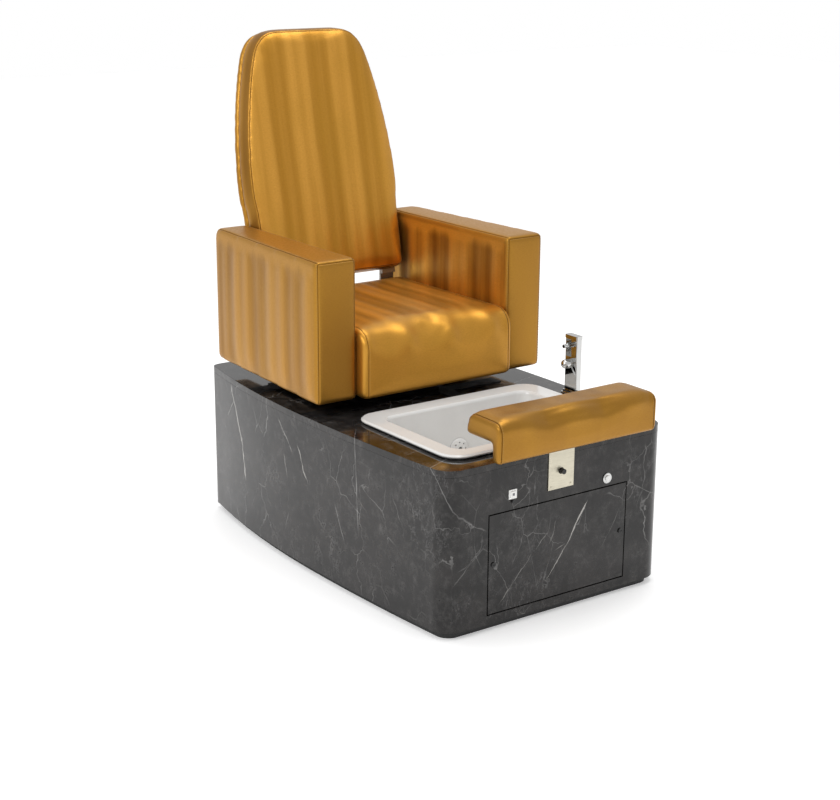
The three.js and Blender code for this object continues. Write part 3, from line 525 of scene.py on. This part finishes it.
LOOKS = {
    # Each vinyl's gain is painted light and shade: the seat and back lighter, the arms and footrest darker,
    # for how the light falls on each piece
    "vinyl_arm": vinyl("vinyl_arm", 1, ARM_FOLDS, 0.72, 0.82, (838, 890), (1, 566, 590), inner=True),
    "vinyl_back": vinyl("vinyl_back", 0, BACK_FOLDS, 0.62, 1.22, band=True),
    "vinyl_rear": vinyl("vinyl_rear", 0, BACK_FOLDS, 0.45, 1.0),
    "vinyl_seat": vinyl("vinyl_seat", 0, SEAT_FOLDS, 0.90, 1.20, None, (1, 575, 660)),
    "vinyl_rest": vinyl("vinyl_rest", 0, REST_FOLDS, 0.50, 0.75, None, (1, -45, 10)),
    "marble": marble("marble_laminate", SIDE_VEINS, (1, 2)),
    "marble_panel": marble("marble_laminate_panel", PANEL_VEINS, (0, 2)),
    "acrylic": acrylic("white_acrylic"),
    "chrome": metal("chrome_plate", (0.58, 0.58, 0.57), 0.035, dull=0.7),
    "steel": metal("brushed_plate", (0.60, 0.56, 0.45), 0.30, streaks=(30, 30, 900), dull=0.7),
    "dull_steel": metal("dull_steel", (0.36, 0.31, 0.27), 0.42, streaks=(40, 40, 700), dull=0.6),
    "dark_steel": moulded("black_steel", (0.018, 0.018, 0.020), 0.38),
    "black": moulded("black_plastic", (0.012, 0.012, 0.012), 0.45),
    "white": moulded("white_plastic", (0.80, 0.80, 0.78), 0.22, texture=0.08),
    "rocker": rocker("white_rocker"),
    "grey": moulded("grey_plastic", (0.22, 0.22, 0.23), 0.5),
    "rubber": moulded("black_rubber", (0.010, 0.010, 0.010), 0.6),
    "braid": metal("braided_hose", (0.62, 0.62, 0.62), 0.28, streaks=(500, 500, 500), dull=0.45),
    "plywood": plywood("plywood"),
    "thread": moulded("gold_thread", (0.36, 0.21, 0.06), 0.55),
    # The seam strand: the joint between panels, its dark colour painted shade in the groove
    "seam": moulded("seam_joint_shade", (0.120, 0.048, 0.006), 0.8, shine=0.05),
}
NODE_LOOKS = {
    "marble": ("cabinet_shell", "deck_top"),
    "marble_panel": ("access_panel",),
    "acrylic": ("basin", "jet_cover"),
    "chrome": (
        "drain_flange", "drain_stopper", "faucet_base", "faucet_body", "faucet_nut",
        "faucet_spout", "faucet_lever", "inlet_nipple_hot", "inlet_nipple_cold", "air_button_bezel",
    ),
    "steel": (
        "footrest_plate", "footrest_post", "swivel_pin", "recline_pin_left", "recline_pin_right",
    ),
    "dull_steel": ("back_upright_left", "back_upright_right"),
    "dark_steel": (
        "footrest_guide", "pedestal_base", "swivel_plate", "seat_frame", "recline_bracket_left",
        "recline_bracket_right", "seat_riser_front", "seat_riser_rear",
    ),
    "black": (
        "plinth_frame", "latch_left", "latch_right", "jet_motor", "power_inlet",
        "switch_contact_block", "reset_button", "footrest_knob",
    ),
    "white": ("switch_bezel", "air_button", "drain_trap"),
    "rocker": ("switch_button",),
    "grey": ("jet_impeller", "control_box"),
    "rubber": ("basin_gasket", "air_tube", "air_bellows"),
    "braid": ("hose_hot", "hose_cold"),
    "plywood": (
        "panel_stop_frame", "footrest_board", "seat_board", "arm_board_left", "arm_board_right",
    ),
}

# Radius of the rounded edges of the pieces seen from near
SOFT_EDGES = {
    "faucet_body": 0.8, "faucet_spout": 0.8, "faucet_base": 0.6, "faucet_lever": 0.5,
    "footrest_plate": 0.4, "back_upright_left": 0.8, "back_upright_right": 0.8,
    "switch_bezel": 0.5, "deck_top": 0.6,
}


def dress_nodes():
    """Gives every CAD node that stays its material and smooth shading."""
    for look, names in NODE_LOOKS.items():
        for name in names:
            mesh = nodes[name].data
            mesh.materials.clear()
            mesh.materials.append(LOOKS[look])
            smooth_shading(nodes[name], SOFT_EDGES.get(name, 0))


def smooth_shading(node, edge):
    """Shades a node's curved faces smoothly and rounds its sharp edges by edge millimetres.

    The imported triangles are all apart, so they are welded first and split again at real corners.
    """
    mesh = node.data
    if "custom_normal" in mesh.attributes:
        mesh.attributes.remove(mesh.attributes["custom_normal"])
    mesh.shade_smooth()
    weld = node.modifiers.new("weld", "WELD")
    weld.merge_threshold = WELD_GAP
    if edge:
        bevel = node.modifiers.new("edges", "BEVEL")
        bevel.width = edge / 1000
        bevel.segments = 2
        bevel.limit_method = "ANGLE"
        bevel.angle_limit = CORNER_ANGLE
    corners = node.modifiers.new("corners", "EDGE_SPLIT")
    corners.split_angle = CORNER_ANGLE
    corners.use_edge_sharp = False
    flat = node.modifiers.new("flat faces", "WEIGHTED_NORMAL")
    flat.mode = "FACE_AREA"
    flat.weight = 50


# ---------------- outlines
def rounded_outline(corners, step=7.0):
    """Corners (u, v, radius) of a closed outline, as evenly spaced points with round corners."""
    points = []
    count = len(corners)
    for i, (u, v, radius) in enumerate(corners):
        corner = Vector((u, v))
        before = (Vector(corners[i - 1][:2]) - corner).normalized()
        after = (Vector(corners[(i + 1) % count][:2]) - corner).normalized()
        half = before.angle(after) / 2
        cut = radius / math.tan(half)
        centre = corner + (before + after).normalized() * (radius / math.sin(half))
        start, end = corner + before * cut - centre, corner + after * cut - centre
        turn = math.pi - 2 * half
        sign = 1 if start.x * end.y - start.y * end.x > 0 else -1
        pieces = max(2, round(turn * radius / step))
        for k in range(pieces + 1):
            angle = sign * turn * k / pieces
            c, s = math.cos(angle), math.sin(angle)
            points.append(centre + Vector((start.x * c - start.y * s, start.x * s + start.y * c)))
    return spaced(points, step)


def spaced(points, step, closed=True):
    """The same path with points about step apart."""
    path = [Vector(p) for p in points]
    if closed:
        path.append(path[0].copy())
    lengths = [0.0]
    for a, b in zip(path, path[1:]):
        lengths.append(lengths[-1] + (b - a).length)
    count = max(3, round(lengths[-1] / step))
    result = []
    j = 0
    for i in range(count if closed else count + 1):
        target = lengths[-1] * i / count
        while j < len(lengths) - 2 and lengths[j + 1] < target:
            j += 1
        span = lengths[j + 1] - lengths[j]
        result.append(path[j].lerp(path[j + 1], (target - lengths[j]) / span if span else 0))
    return result


def inset(outline, distance):
    """Moves a closed outline inwards."""
    count = len(outline)
    area = sum(
        outline[i].x * outline[(i + 1) % count].y - outline[(i + 1) % count].x * outline[i].y
        for i in range(count)
    )
    sign = 1 if area > 0 else -1
    moved = []
    for i in range(count):
        tangent = (outline[(i + 1) % count] - outline[i - 1]).normalized()
        moved.append(outline[i] + Vector((-tangent.y, tangent.x)) * sign * distance)
    return moved


def bezier(a, b, c, d, steps=12):
    points = []
    for i in range(steps):
        t = i / steps
        points.append(
            Vector(a) * (1 - t) ** 3
            + Vector(b) * 3 * t * (1 - t) ** 2
            + Vector(c) * 3 * t * t * (1 - t)
            + Vector(d) * t ** 3
        )
    return points


def back_outline():
    """The back seen from the front, beside the pin: x, z."""
    low, high = BACK_Z
    right = [Vector((232, low)), Vector((243, low + 4)), Vector((249, low + 12)), Vector((250, low + 22))]
    right += [Vector((253, 310))]
    right += bezier((253, 310), (254, 350), (261, 365), (261, 400))
    right += bezier((261, 400), (261, 530), (235, 680), (205, 780))
    right += bezier((205, 780), (193, 820), (172, high), (105, high))
    right += [Vector((105, high))]
    left = [Vector((-p.x, p.y)) for p in reversed(right)]
    return spaced(right + left, 7)


# ---------------- upholstery
def placed(name, mesh):
    """A bmesh as an object of the scene."""
    data = bpy.data.meshes.new(name)
    mesh.to_mesh(data)
    mesh.free()
    piece = bpy.data.objects.new(name, data)
    scene.collection.objects.link(piece)
    return piece


def skin(mesh, rings, capped=True):
    """Joins rings of points with faces and closes both ends, and returns the faces."""
    faces = []
    for a, b in zip(rings, rings[1:]):
        for k in range(len(a)):
            n = (k + 1) % len(a)
            faces.append(mesh.faces.new((a[k], a[n], b[n], b[k])))
    if capped:
        faces.append(mesh.faces.new(list(reversed(rings[0]))))
        faces.append(mesh.faces.new(rings[-1]))
    return faces


def loft(name, outline, layers, place):
    """A closed mesh through copies of an outline; layers are (depth, inset), place maps (u, v, w)."""
    mesh = bmesh.new()
    rings = []
    for depth, amount in layers:
        ring = inset(outline, amount) if amount else outline
        rings.append([mesh.verts.new(place(p.x, p.y, depth)) for p in ring])
    skin(mesh, rings)
    bmesh.ops.recalc_face_normals(mesh, faces=mesh.faces)
    return placed(name, mesh)


def rounding(low, high, radius, steps=3, far=None):
    """Layers from low to high whose two ends are rounded off."""
    far = radius if far is None else far
    angles = [math.pi / 2 * k / steps for k in range(steps + 1)]
    start = [(low + radius * (1 - math.cos(a)), radius * (1 - math.sin(a))) for a in angles]
    end = [(high - far * (1 - math.cos(a)), far * (1 - math.sin(a))) for a in reversed(angles)]
    middle = max(1, round((high - low - radius - far) / 12))
    inner = [(mix(low + radius, high - far, k / middle), 0) for k in range(1, middle)]
    return start + inner + end


def applied(piece):
    """Replaces a piece's mesh by the result of its modifiers."""
    graph = bpy.context.evaluated_depsgraph_get()
    graph.update()
    mesh = bpy.data.meshes.new_from_object(piece.evaluated_get(graph))
    piece.modifiers.clear()
    piece.data = mesh


def remeshed(piece, voxel=VOXEL):
    """Replaces a piece's mesh by an even one of small square faces, with its edges softened."""
    modifier = piece.modifiers.new("remesh", "REMESH")
    modifier.mode = "VOXEL"
    modifier.voxel_size = voxel
    applied(piece)
    smooth(piece, 4, 0.5)
    swell(piece, 1.7)


def smooth(piece, rounds, factor):
    mesh = bmesh.new()
    mesh.from_mesh(piece.data)
    for _ in range(rounds):
        bmesh.ops.smooth_vert(
            mesh, verts=mesh.verts, factor=factor, use_axis_x=True, use_axis_y=True, use_axis_z=True
        )
    mesh.to_mesh(piece.data)
    mesh.free()


def displace(piece, shift):
    """Moves every point of a piece by shift(point, normal), in metres."""
    normals = [n.vector.copy() for n in piece.data.vertex_normals]
    for vertex, normal in zip(piece.data.vertices, normals):
        vertex.co += shift(vertex.co, normal)


def swell(piece, amount):
    """Moves the whole surface outwards, to undo what the remesh and smoothing took off."""
    displace(piece, lambda point, normal: normal * amount / 1000)


def prepare_cloth(piece, hold, pressure):
    """Adds cloth with air pressure; hold(point) is how firmly a point stays, from 0 to 1."""
    group = piece.vertex_groups.new(name="held")
    for vertex in piece.data.vertices:
        weight = hold(vertex.co)
        if weight > 0:
            group.add([vertex.index], weight, "REPLACE")
    cloth = piece.modifiers.new("cloth", "CLOTH")
    cloth.settings.quality = 4
    cloth.settings.mass = 0.25
    cloth.settings.tension_stiffness = 30
    cloth.settings.compression_stiffness = 30
    cloth.settings.shear_stiffness = 12
    cloth.settings.bending_stiffness = 4
    cloth.settings.use_pressure = True
    cloth.settings.uniform_pressure_force = pressure
    cloth.settings.vertex_group_mass = "held"
    cloth.settings.pin_stiffness = 1.0
    cloth.settings.effector_weights.gravity = 0
    cloth.point_cache.frame_start = 1
    cloth.point_cache.frame_end = SIM_FRAMES


def fill(*jobs):
    """Fills every piece with air together, limits how far it moves and smooths it."""
    start = {}
    for piece, hold, pressure, _, _ in jobs:
        prepare_cloth(piece, hold, pressure)
        start[piece.name] = [vertex.co.copy() for vertex in piece.data.vertices]
    for number in range(1, SIM_FRAMES + 1):
        scene.frame_set(number)
    for piece, _, _, cap, rounds in jobs:
        applied(piece)
        for vertex, origin in zip(piece.data.vertices, start[piece.name]):
            move = vertex.co - origin
            if move.length > cap / 1000:
                vertex.co = origin + move.normalized() * (cap / 1000)
        piece.vertex_groups.clear()
        smooth(piece, rounds, 0.5)
    scene.frame_set(1)


def subdivided(piece):
    modifier = piece.modifiers.new("subdivision", "SUBSURF")
    modifier.levels = 1
    modifier.render_levels = 1
    applied(piece)


class Seam:
    """A sewn line on a piece: points along its surface, and the normals there."""

    def __init__(self, surface, path, closed=False):
        self.points, self.normals = [], []
        for point in spaced(path, SEAM_STEP, closed):
            spot, normal, _, _ = surface.find_nearest(point)
            self.points.append(spot)
            self.normals.append(normal)
        self.closed = closed

    def beside(self, i):
        """The directions along the line and across it at a point."""
        last = len(self.points) - 1
        before, after = (i - 2, (i + 2) % (last + 1)) if self.closed else (max(0, i - 2), min(last, i + 2))
        along = (self.points[after] - self.points[before]).normalized()
        return along, self.normals[i].cross(along).normalized()

    def stitches(self, mesh, side, pitch, length, radius):
        """Adds a row of stitches, side metres beside the line."""
        for i in range(2, len(self.points) - 2, max(1, round(pitch / SEAM_STEP))):
            along, across = self.beside(i)
            normal = self.normals[i]
            centre = self.points[i] + across * side + normal * 0.0002
            add_stitch(mesh, centre, along, normal, across, length / 2, radius)

    def joint(self, mesh, depth, radius=0.0008, sides=5):
        """Adds the dark line where two panels meet, a thin strand sunk in the groove: the joint itself,
        coloured dark as painted shade in the groove.
        """
        rings = []
        for i, (point, normal) in enumerate(zip(self.points, self.normals)):
            across = self.beside(i)[1]
            ring = []
            for k in range(sides):
                angle = 2 * math.pi * k / sides
                shift = normal * (radius * math.sin(angle) - depth) + across * radius * math.cos(angle)
                ring.append(mesh.verts.new(point + shift))
            rings.append(ring)
        if self.closed:
            rings.append(rings[0])
        for face in skin(mesh, rings, capped=not self.closed):
            face.material_index = 1


def sink(piece, seams, depth, width):
    """Refines a piece's mesh along its seams and presses a groove with raised lips into it."""
    points = [point for seam in seams for point in seam.points]
    tree = KDTree(len(points))
    for i, point in enumerate(points):
        tree.insert(point, i)
    tree.balance()
    mesh = bmesh.new()
    mesh.from_mesh(piece.data)
    near = {vertex for vertex in mesh.verts if tree.find(vertex.co)[2] < SEAM_REACH}
    edges = [edge for edge in mesh.edges if edge.verts[0] in near and edge.verts[1] in near]
    bmesh.ops.subdivide_edges(mesh, edges=edges, cuts=1, use_grid_fill=True)
    mesh.normal_update()
    for vertex in mesh.verts:
        t = tree.find(vertex.co)[2] / width
        if t < 3.4:
            push = -depth * math.exp(-t * t) + 0.22 * depth * math.exp(-((t - 1.9) ** 2) * 2)
            vertex.co += vertex.normal * push
    mesh.to_mesh(piece.data)
    mesh.free()


def sew(piece, name, body, runs, depth=0.0012, width=0.0019, pitch=0.0075, length=0.0048, radius=0.0004):
    """Sews a piece along runs of (path, side of the stitches in metres, closed)."""
    surface = BVHTree.FromPolygons(
        [v.co for v in piece.data.vertices], [p.vertices for p in piece.data.polygons]
    )
    lines = bmesh.new()
    seams = [Seam(surface, path, closed) for path, _, closed in runs]
    sink(piece, seams, depth, width)
    for seam, (_, side, _) in zip(seams, runs):
        seam.stitches(lines, side, pitch, length, radius)
        seam.joint(lines, depth * 0.75)
    finished(lines, name, body, "gold_vinyl", "thread", "seam")


def add_stitch(mesh, centre, along, up, across, half, radius):
    """Adds one stitch of thread whose ends dip into the surface."""
    sides = 6
    rings = []
    for t, size in ((-1, 0.35), (-0.7, 0.95), (0, 1.1), (0.7, 0.95), (1, 0.35)):
        dip = -radius * 0.9 * t * t
        rings.append([
            mesh.verts.new(
                centre + along * half * t + up * dip
                + (up * math.sin(2 * math.pi * k / sides) + across * math.cos(2 * math.pi * k / sides))
                * radius * size
            )
            for k in range(sides)
        ])
    skin(mesh, rings)


def finished(mesh, name, body, slot, *looks):
    """A bmesh as a smooth piece that rides on a body."""
    bmesh.ops.recalc_face_normals(mesh, faces=mesh.faces)
    piece = placed(name, mesh)
    piece.data.shade_smooth()
    for look in looks:
        piece.data.materials.append(LOOKS[look])
    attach(piece, body)


def arm_point(side):
    """Maps an arm's (y, z, depth), with the depth outwards from its inner face, to the frame."""
    def place(y, z, depth):
        t = (y - ARM_Y[0]) / (ARM_Y[1] - ARM_Y[0])
        x = mix(mix(*ARM_INNER, t), mix(*ARM_OUTER, t), depth / ARM_THICK)
        return at(side * x, y, z)
    return place


def make_arm(side):
    y0, y1 = ARM_Y[0] - 1, ARM_Y[1] + 1
    z0, z1 = ARM_Z[0], ARM_Z[1] + 1
    outline = rounded_outline(((y0, z0, 4), (y1, z0, 6), (y1, z1, 22), (y0, z1, 4)))
    name = "arm_pad_left" if side < 0 else "arm_pad_right"
    return loft(name, outline, rounding(-1, ARM_THICK + 1, 4), arm_point(side))


def make_seat():
    front, rear = SEAT_FRONT - 1, 1097
    outline = rounded_outline((
        (front, 500.5, 8), (601, 500.5, 2), (601, 611.5, 3),
        (rear, 611.5, 3), (rear, 690, 16), (front, 693, 54),
    ))
    return loft("seat_pad", outline, rounding(-SEAT_HALF, SEAT_HALF, 11), lambda y, z, x: at(x, y, z))


def make_footrest():
    outline = rounded_outline((
        (-71, 478, 7), (-43, 478, 5), (-42, 530.5, 6), (67, 530.5, 5), (53, 587, 12), (-72, 586, 22),
    ), 4)
    return loft(
        "footrest_cushion", outline, rounding(-REST_HALF - 1, REST_HALF + 3, 5), lambda y, z, x: at(x, y, z)
    )


def make_back():
    outline = inset(back_outline(), -3.0)
    return loft("backrest_pad", outline, rounding(-86, -22.2, 11, 4, 2), lambda x, z, y: leaned(x, y, z))


def make_back_panel():
    outline = inset(back_outline(), -2.2)
    return loft("backrest_rear", outline, rounding(-21.6, 3, 2, 2, 7), lambda x, z, y: leaned(x, y, z))


def edge_hold(*distances):
    """1 where two of the distances to a piece's faces are small, as along its edges."""
    return limited(1 - (sorted(distances)[1] - 6) / 14)


def hold_arm(point):
    x, y, z = frame_mm(point)
    t = (y - ARM_Y[0]) / (ARM_Y[1] - ARM_Y[0])
    x = abs(x)
    inner, outer = x - mix(*ARM_INNER, t), mix(*ARM_OUTER, t) - x
    if z < ARM_Z[0] + 4 or inner < 1.5:
        return 1.0
    return edge_hold(inner, outer, z - ARM_Z[0], ARM_Z[1] - z, y - ARM_Y[0], ARM_Y[1] - y)


def hold_seat(point):
    x, y, z = frame_mm(point)
    if (z < 618 and y > 590) or z < 504 or y > 1092:
        return 1.0
    side = SEAT_HALF - abs(x)
    return limited(1 - (side - 2) / 10)


def hold_footrest(point):
    x, y, z = frame_mm(point)
    if z < 534 and y > -50:
        return 1.0
    if z < 483:
        return 0.8
    side = REST_HALF - abs(x)
    return limited(1 - (side - 3) / 8) * 0.9


def hold_back(point):
    return limited((beside_pin(point)[1] + 64) / 30)


def hold_back_panel(point):
    return 1.0 if beside_pin(point)[1] < -4 else 0.25


def build_upholstery():
    """Makes the six upholstered pieces: blocked out, filled by cloth, folded and sewn."""
    arms = {side: make_arm(side) for side in (-1, 1)}
    seat, rest, back, panel = make_seat(), make_footrest(), make_back(), make_back_panel()
    for piece in (*arms.values(), seat, back, panel):
        remeshed(piece)
    remeshed(rest, REST_VOXEL)
    fill(
        # piece, hold, pressure, most that it may move in millimetres, rounds of smoothing
        *((arm, hold_arm, 2.2, 4.5, 2) for arm in arms.values()),
        (seat, hold_seat, 4.0, 8.0, 4),
        (rest, hold_footrest, 2.5, 4.0, 3),
        (back, hold_back, 4.0, 6.0, 10),
        (panel, hold_back_panel, 1.5, 3.0, 4),
    )
    for piece in (*arms.values(), seat, rest, back, panel):
        subdivided(piece)
    for side, arm in arms.items():
        fold_arm(arm)
        sew_arm(arm, side)
    fold_seat(seat)
    sew_seat(seat)
    fold_footrest(rest)
    sew_footrest(rest)
    fold_back(back)
    sew_back(back, panel)
    for piece, look, body, replaced in (
        (arms[-1], "vinyl_arm", "chair", "arm_cover_left"),
        (arms[1], "vinyl_arm", "chair", "arm_cover_right"),
        (seat, "vinyl_seat", "chair", "seat_cushion"),
        (rest, "vinyl_rest", "footrest", "footrest_pad"),
        (back, "vinyl_back", "backrest", "back_cushion"),
        (panel, "vinyl_rear", "backrest", "back_panel"),
    ):
        piece.data.materials.clear()
        piece.data.materials.append(LOOKS[look])
        piece.data.shade_smooth()
        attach(piece, body)
        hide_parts(replaced)


def fold_arm(arm):
    """Upright folds in the two broad faces, rounded off below the top edge."""
    def shift(point, normal):
        _, y, z = frame_mm(point)
        wave = fold(y, ARM_FOLDS)
        crown = 868 + 10 * wave
        weight = rise(abs(normal.x), 0.6, 0.95) * (1 - rise(z, crown - 40, crown)) * rise(z, 500, 560)
        weight *= rise(y, ARM_Y[0] + 4, ARM_Y[0] + 40) * (1 - rise(y, ARM_Y[1] - 60, ARM_Y[1] - 10))
        return normal * (ARM_FOLD_HEIGHT * wave * weight)

    displace(arm, shift)


def fold_seat(seat):
    """Soft humps over the front roll, and faint folds that run back from them."""
    spacing, middle = SEAT_FOLDS

    def shift(point, normal):
        x, y, z = frame_mm(point)
        turn = 2 * math.pi * (x - middle) / spacing
        hump = math.cos(turn) + 0.30 * math.cos(2 * turn)
        roll = math.exp(-(((z - 655) / 34) ** 2)) * rise(-y, -610, -570)
        top = rise(normal.z, 0.7, 0.97) * rise(y, 560, 620) * (1 - rise(y, 1000, 1080))
        height = SEAT_HUMP_HEIGHT * hump * roll + SEAT_FOLD_HEIGHT * fold(x, SEAT_FOLDS) * top
        return normal * (rise(SEAT_HALF - abs(x), 4, 34) * height)

    displace(seat, shift)


def fold_footrest(rest):
    """Soft humps along the front roll, and a top that falls off towards both ends."""
    spacing, middle = REST_FOLDS

    def shift(point, normal):
        x, y, z = frame_mm(point)
        hump = 2 * math.sqrt(0.02 + math.cos(math.pi * (x - middle) / spacing) ** 2) - 1.35
        roll = math.exp(-(((z - 572) / 19) ** 2)) * rise(-y, 8, 44) * rise(REST_HALF - abs(x), 2, 30)
        fall = rise(abs(x), REST_HALF - 42, REST_HALF) ** 1.5 * rise(z, 545, 585)
        return normal * (REST_HUMP_HEIGHT * hump * roll) - Vector((0, 0, REST_END_FALL * fall))

    displace(rest, shift)


def fold_back(back):
    """Faint upright folds down the front face."""
    def shift(point, normal):
        x, _, z = beside_pin(point)
        weight = rise(-normal.y, 0.75, 0.97) * rise(z, 140, 230) * (1 - rise(z, 770, 850))
        return normal * (BACK_FOLD_HEIGHT * fold(x, BACK_FOLDS) * weight)

    displace(back, shift)


def sew_arm(arm, side):
    place = arm_point(side)
    front, rear, top, bottom = ARM_Y[0] - 1, ARM_Y[1], ARM_Z[1] + 1, ARM_Z[0]
    runs = [
        ([place(*start), place(*end)], sign * STITCH_GAP * side, False)
        for start, end, sign in (
            ((front, bottom, 123), (front, top - 4, 123), -1),
            ((front, bottom, 4), (front, top - 4, 4), 1),
            ((front, top - 4, 8), (front, top - 4, 119), -1),
            ((front + 5, top, 123), (rear - 24, top, 123), 1),
            ((front + 5, top, 4), (rear - 24, top, 4), -1),
            ((rear, bottom, 122), (rear, top - 26, 122), 1),
        )
    ]
    name = "arm_stitching_left" if side < 0 else "arm_stitching_right"
    sew(arm, name, "chair", runs)


def sew_seat(seat):
    runs = []
    for side in (-1, 1):
        x, front = side * (SEAT_HALF - 14), SEAT_FRONT
        path = [at(x, front, 503), at(x, front - 2, 640), at(x, front + 12, 678), at(x, front + 52, 700)]
        runs.append((path + [at(x, 1085, 700)], side * STITCH_GAP, False))
    sew(seat, "seat_stitching", "chair", runs, depth=0.0009)


def sew_footrest(rest):
    runs = []
    corners = ((-70, 481), (-76, 545), (-62, 578), (-38, 590), (44, 592), (62, 548))
    for side in (-1, 1):
        x = side * (REST_HALF - 7)
        runs.append(([at(x, y, z) for y, z in corners], side * STITCH_GAP, False))
    sew(rest, "footrest_stitching", "footrest", runs, pitch=0.0060, length=0.0040, radius=0.00055)


def sew_back(back, panel):
    edge = [leaned(p.x, -84, p.y) for p in inset(back_outline(), 2)]
    sew(back, "backrest_stitching", "backrest", [(edge, STITCH_GAP, True)])
    rear = [leaned(p.x, 6, p.y) for p in inset(back_outline(), 14)]
    sew(panel, "backrest_rear_stitching", "backrest", [(rear, 0.0035, True)])


# ---------------- small hardware
def add_screw(mesh, x, z, segments=20):
    """Adds a screw's flat round head, with its edge broken, on the footrest plate."""
    angles = [2 * math.pi * k / segments for k in range(segments)]
    skin(mesh, [
        [mesh.verts.new(at(x + radius * math.cos(a), y, z + radius * math.sin(a))) for a in angles]
        for radius, y in ((2.6, -3.05), (2.6, -3.7), (2.3, -4.0), (1.0, -4.0))
    ])


def build_screws():
    mesh = bmesh.new()
    for x, z in SCREWS:
        add_screw(mesh, x, z)
    finished(mesh, "plate_screws", "cabinet", "brushed_plate", "steel")


# ---------------- stage, light and camera
def build_stage():
    mesh = bmesh.new()
    bmesh.ops.create_grid(mesh, x_segments=8, y_segments=8, size=14)
    floor = placed("floor", mesh)
    look = Look("pale_floor", Specular_IOR_Level=0.2)
    tone = look.noise(look.coordinates, 0.7, detail=2)
    floor.data.materials.append(look.output(
        Base_Color=look.blend(tone, (0.93, 0.93, 0.93), (0.95, 0.95, 0.95)),
        Roughness=0.55,
        Emission_Color=(1, 1, 1),
        Emission_Strength=0.30,
    ))


def add_light(name, position, target, size, power):
    data = bpy.data.lights.new(name, "AREA")
    data.shape = "RECTANGLE"
    data.size, data.size_y = size
    data.energy = power
    lamp = bpy.data.objects.new(name, data)
    lamp.location = position
    lamp.rotation_euler = (Vector(target) - Vector(position)).to_track_quat("-Z", "Y").to_euler()
    scene.collection.objects.link(lamp)


def build_light():
    """A white studio: the camera sees plain white, and the world lights the object less than that."""
    world = bpy.data.worlds.new("studio")
    scene.world = world
    world.use_nodes = True
    tree = world.node_tree
    tree.nodes.clear()
    out = tree.nodes.new("ShaderNodeOutputWorld")
    path = tree.nodes.new("ShaderNodeLightPath")
    join = tree.nodes.new("ShaderNodeMixShader")
    tree.links.new(path.outputs["Is Camera Ray"], join.inputs[0])
    for socket, strength in ((1, WORLD_LIT), (2, WORLD_SHOWN)):
        white = tree.nodes.new("ShaderNodeBackground")
        white.inputs[0].default_value = (1, 1, 1, 1)
        white.inputs[1].default_value = strength
        tree.links.new(white.outputs[0], join.inputs[socket])
    tree.links.new(join.outputs[0], out.inputs[0])
    add_light("key", (-4.2, -0.9, 3.2), (0, 0, 0.8), (2.4, 2.2), 70)
    add_light("top", (0.4, 0.2, 4.2), (0, 0, 0.6), (2.6, 2.6), 75)
    scene.view_settings.view_transform = "Standard"
    scene.view_settings.look = "None"


def build_camera():
    """Looks along the azimuth and elevation, turned a little about the line of sight."""
    ca, sa = math.cos(CAMERA_AZIMUTH), math.sin(CAMERA_AZIMUTH)
    ce, se = math.cos(CAMERA_ELEVATION), math.sin(CAMERA_ELEVATION)
    back = Vector((sa * ce, -ca * ce, se))
    right = Vector((ca, sa, 0))
    up = back.cross(right)
    cr, sr = math.cos(CAMERA_ROLL), math.sin(CAMERA_ROLL)
    turned_right, turned_up = right * cr + up * sr, up * cr - right * sr
    turn = Matrix((turned_right, turned_up, back)).transposed().to_4x4()
    data = bpy.data.cameras.new("camera")
    data.lens = LENS
    data.sensor_width = 36
    data.sensor_fit = "HORIZONTAL"
    data.clip_end = 60
    camera = bpy.data.objects.new("camera", data)
    camera.matrix_world = Matrix.Translation(CAMERA_AT) @ turn
    scene.collection.objects.link(camera)
    scene.camera = camera


dress_nodes()
build_upholstery()
build_screws()
build_stage()
build_light()
build_camera()
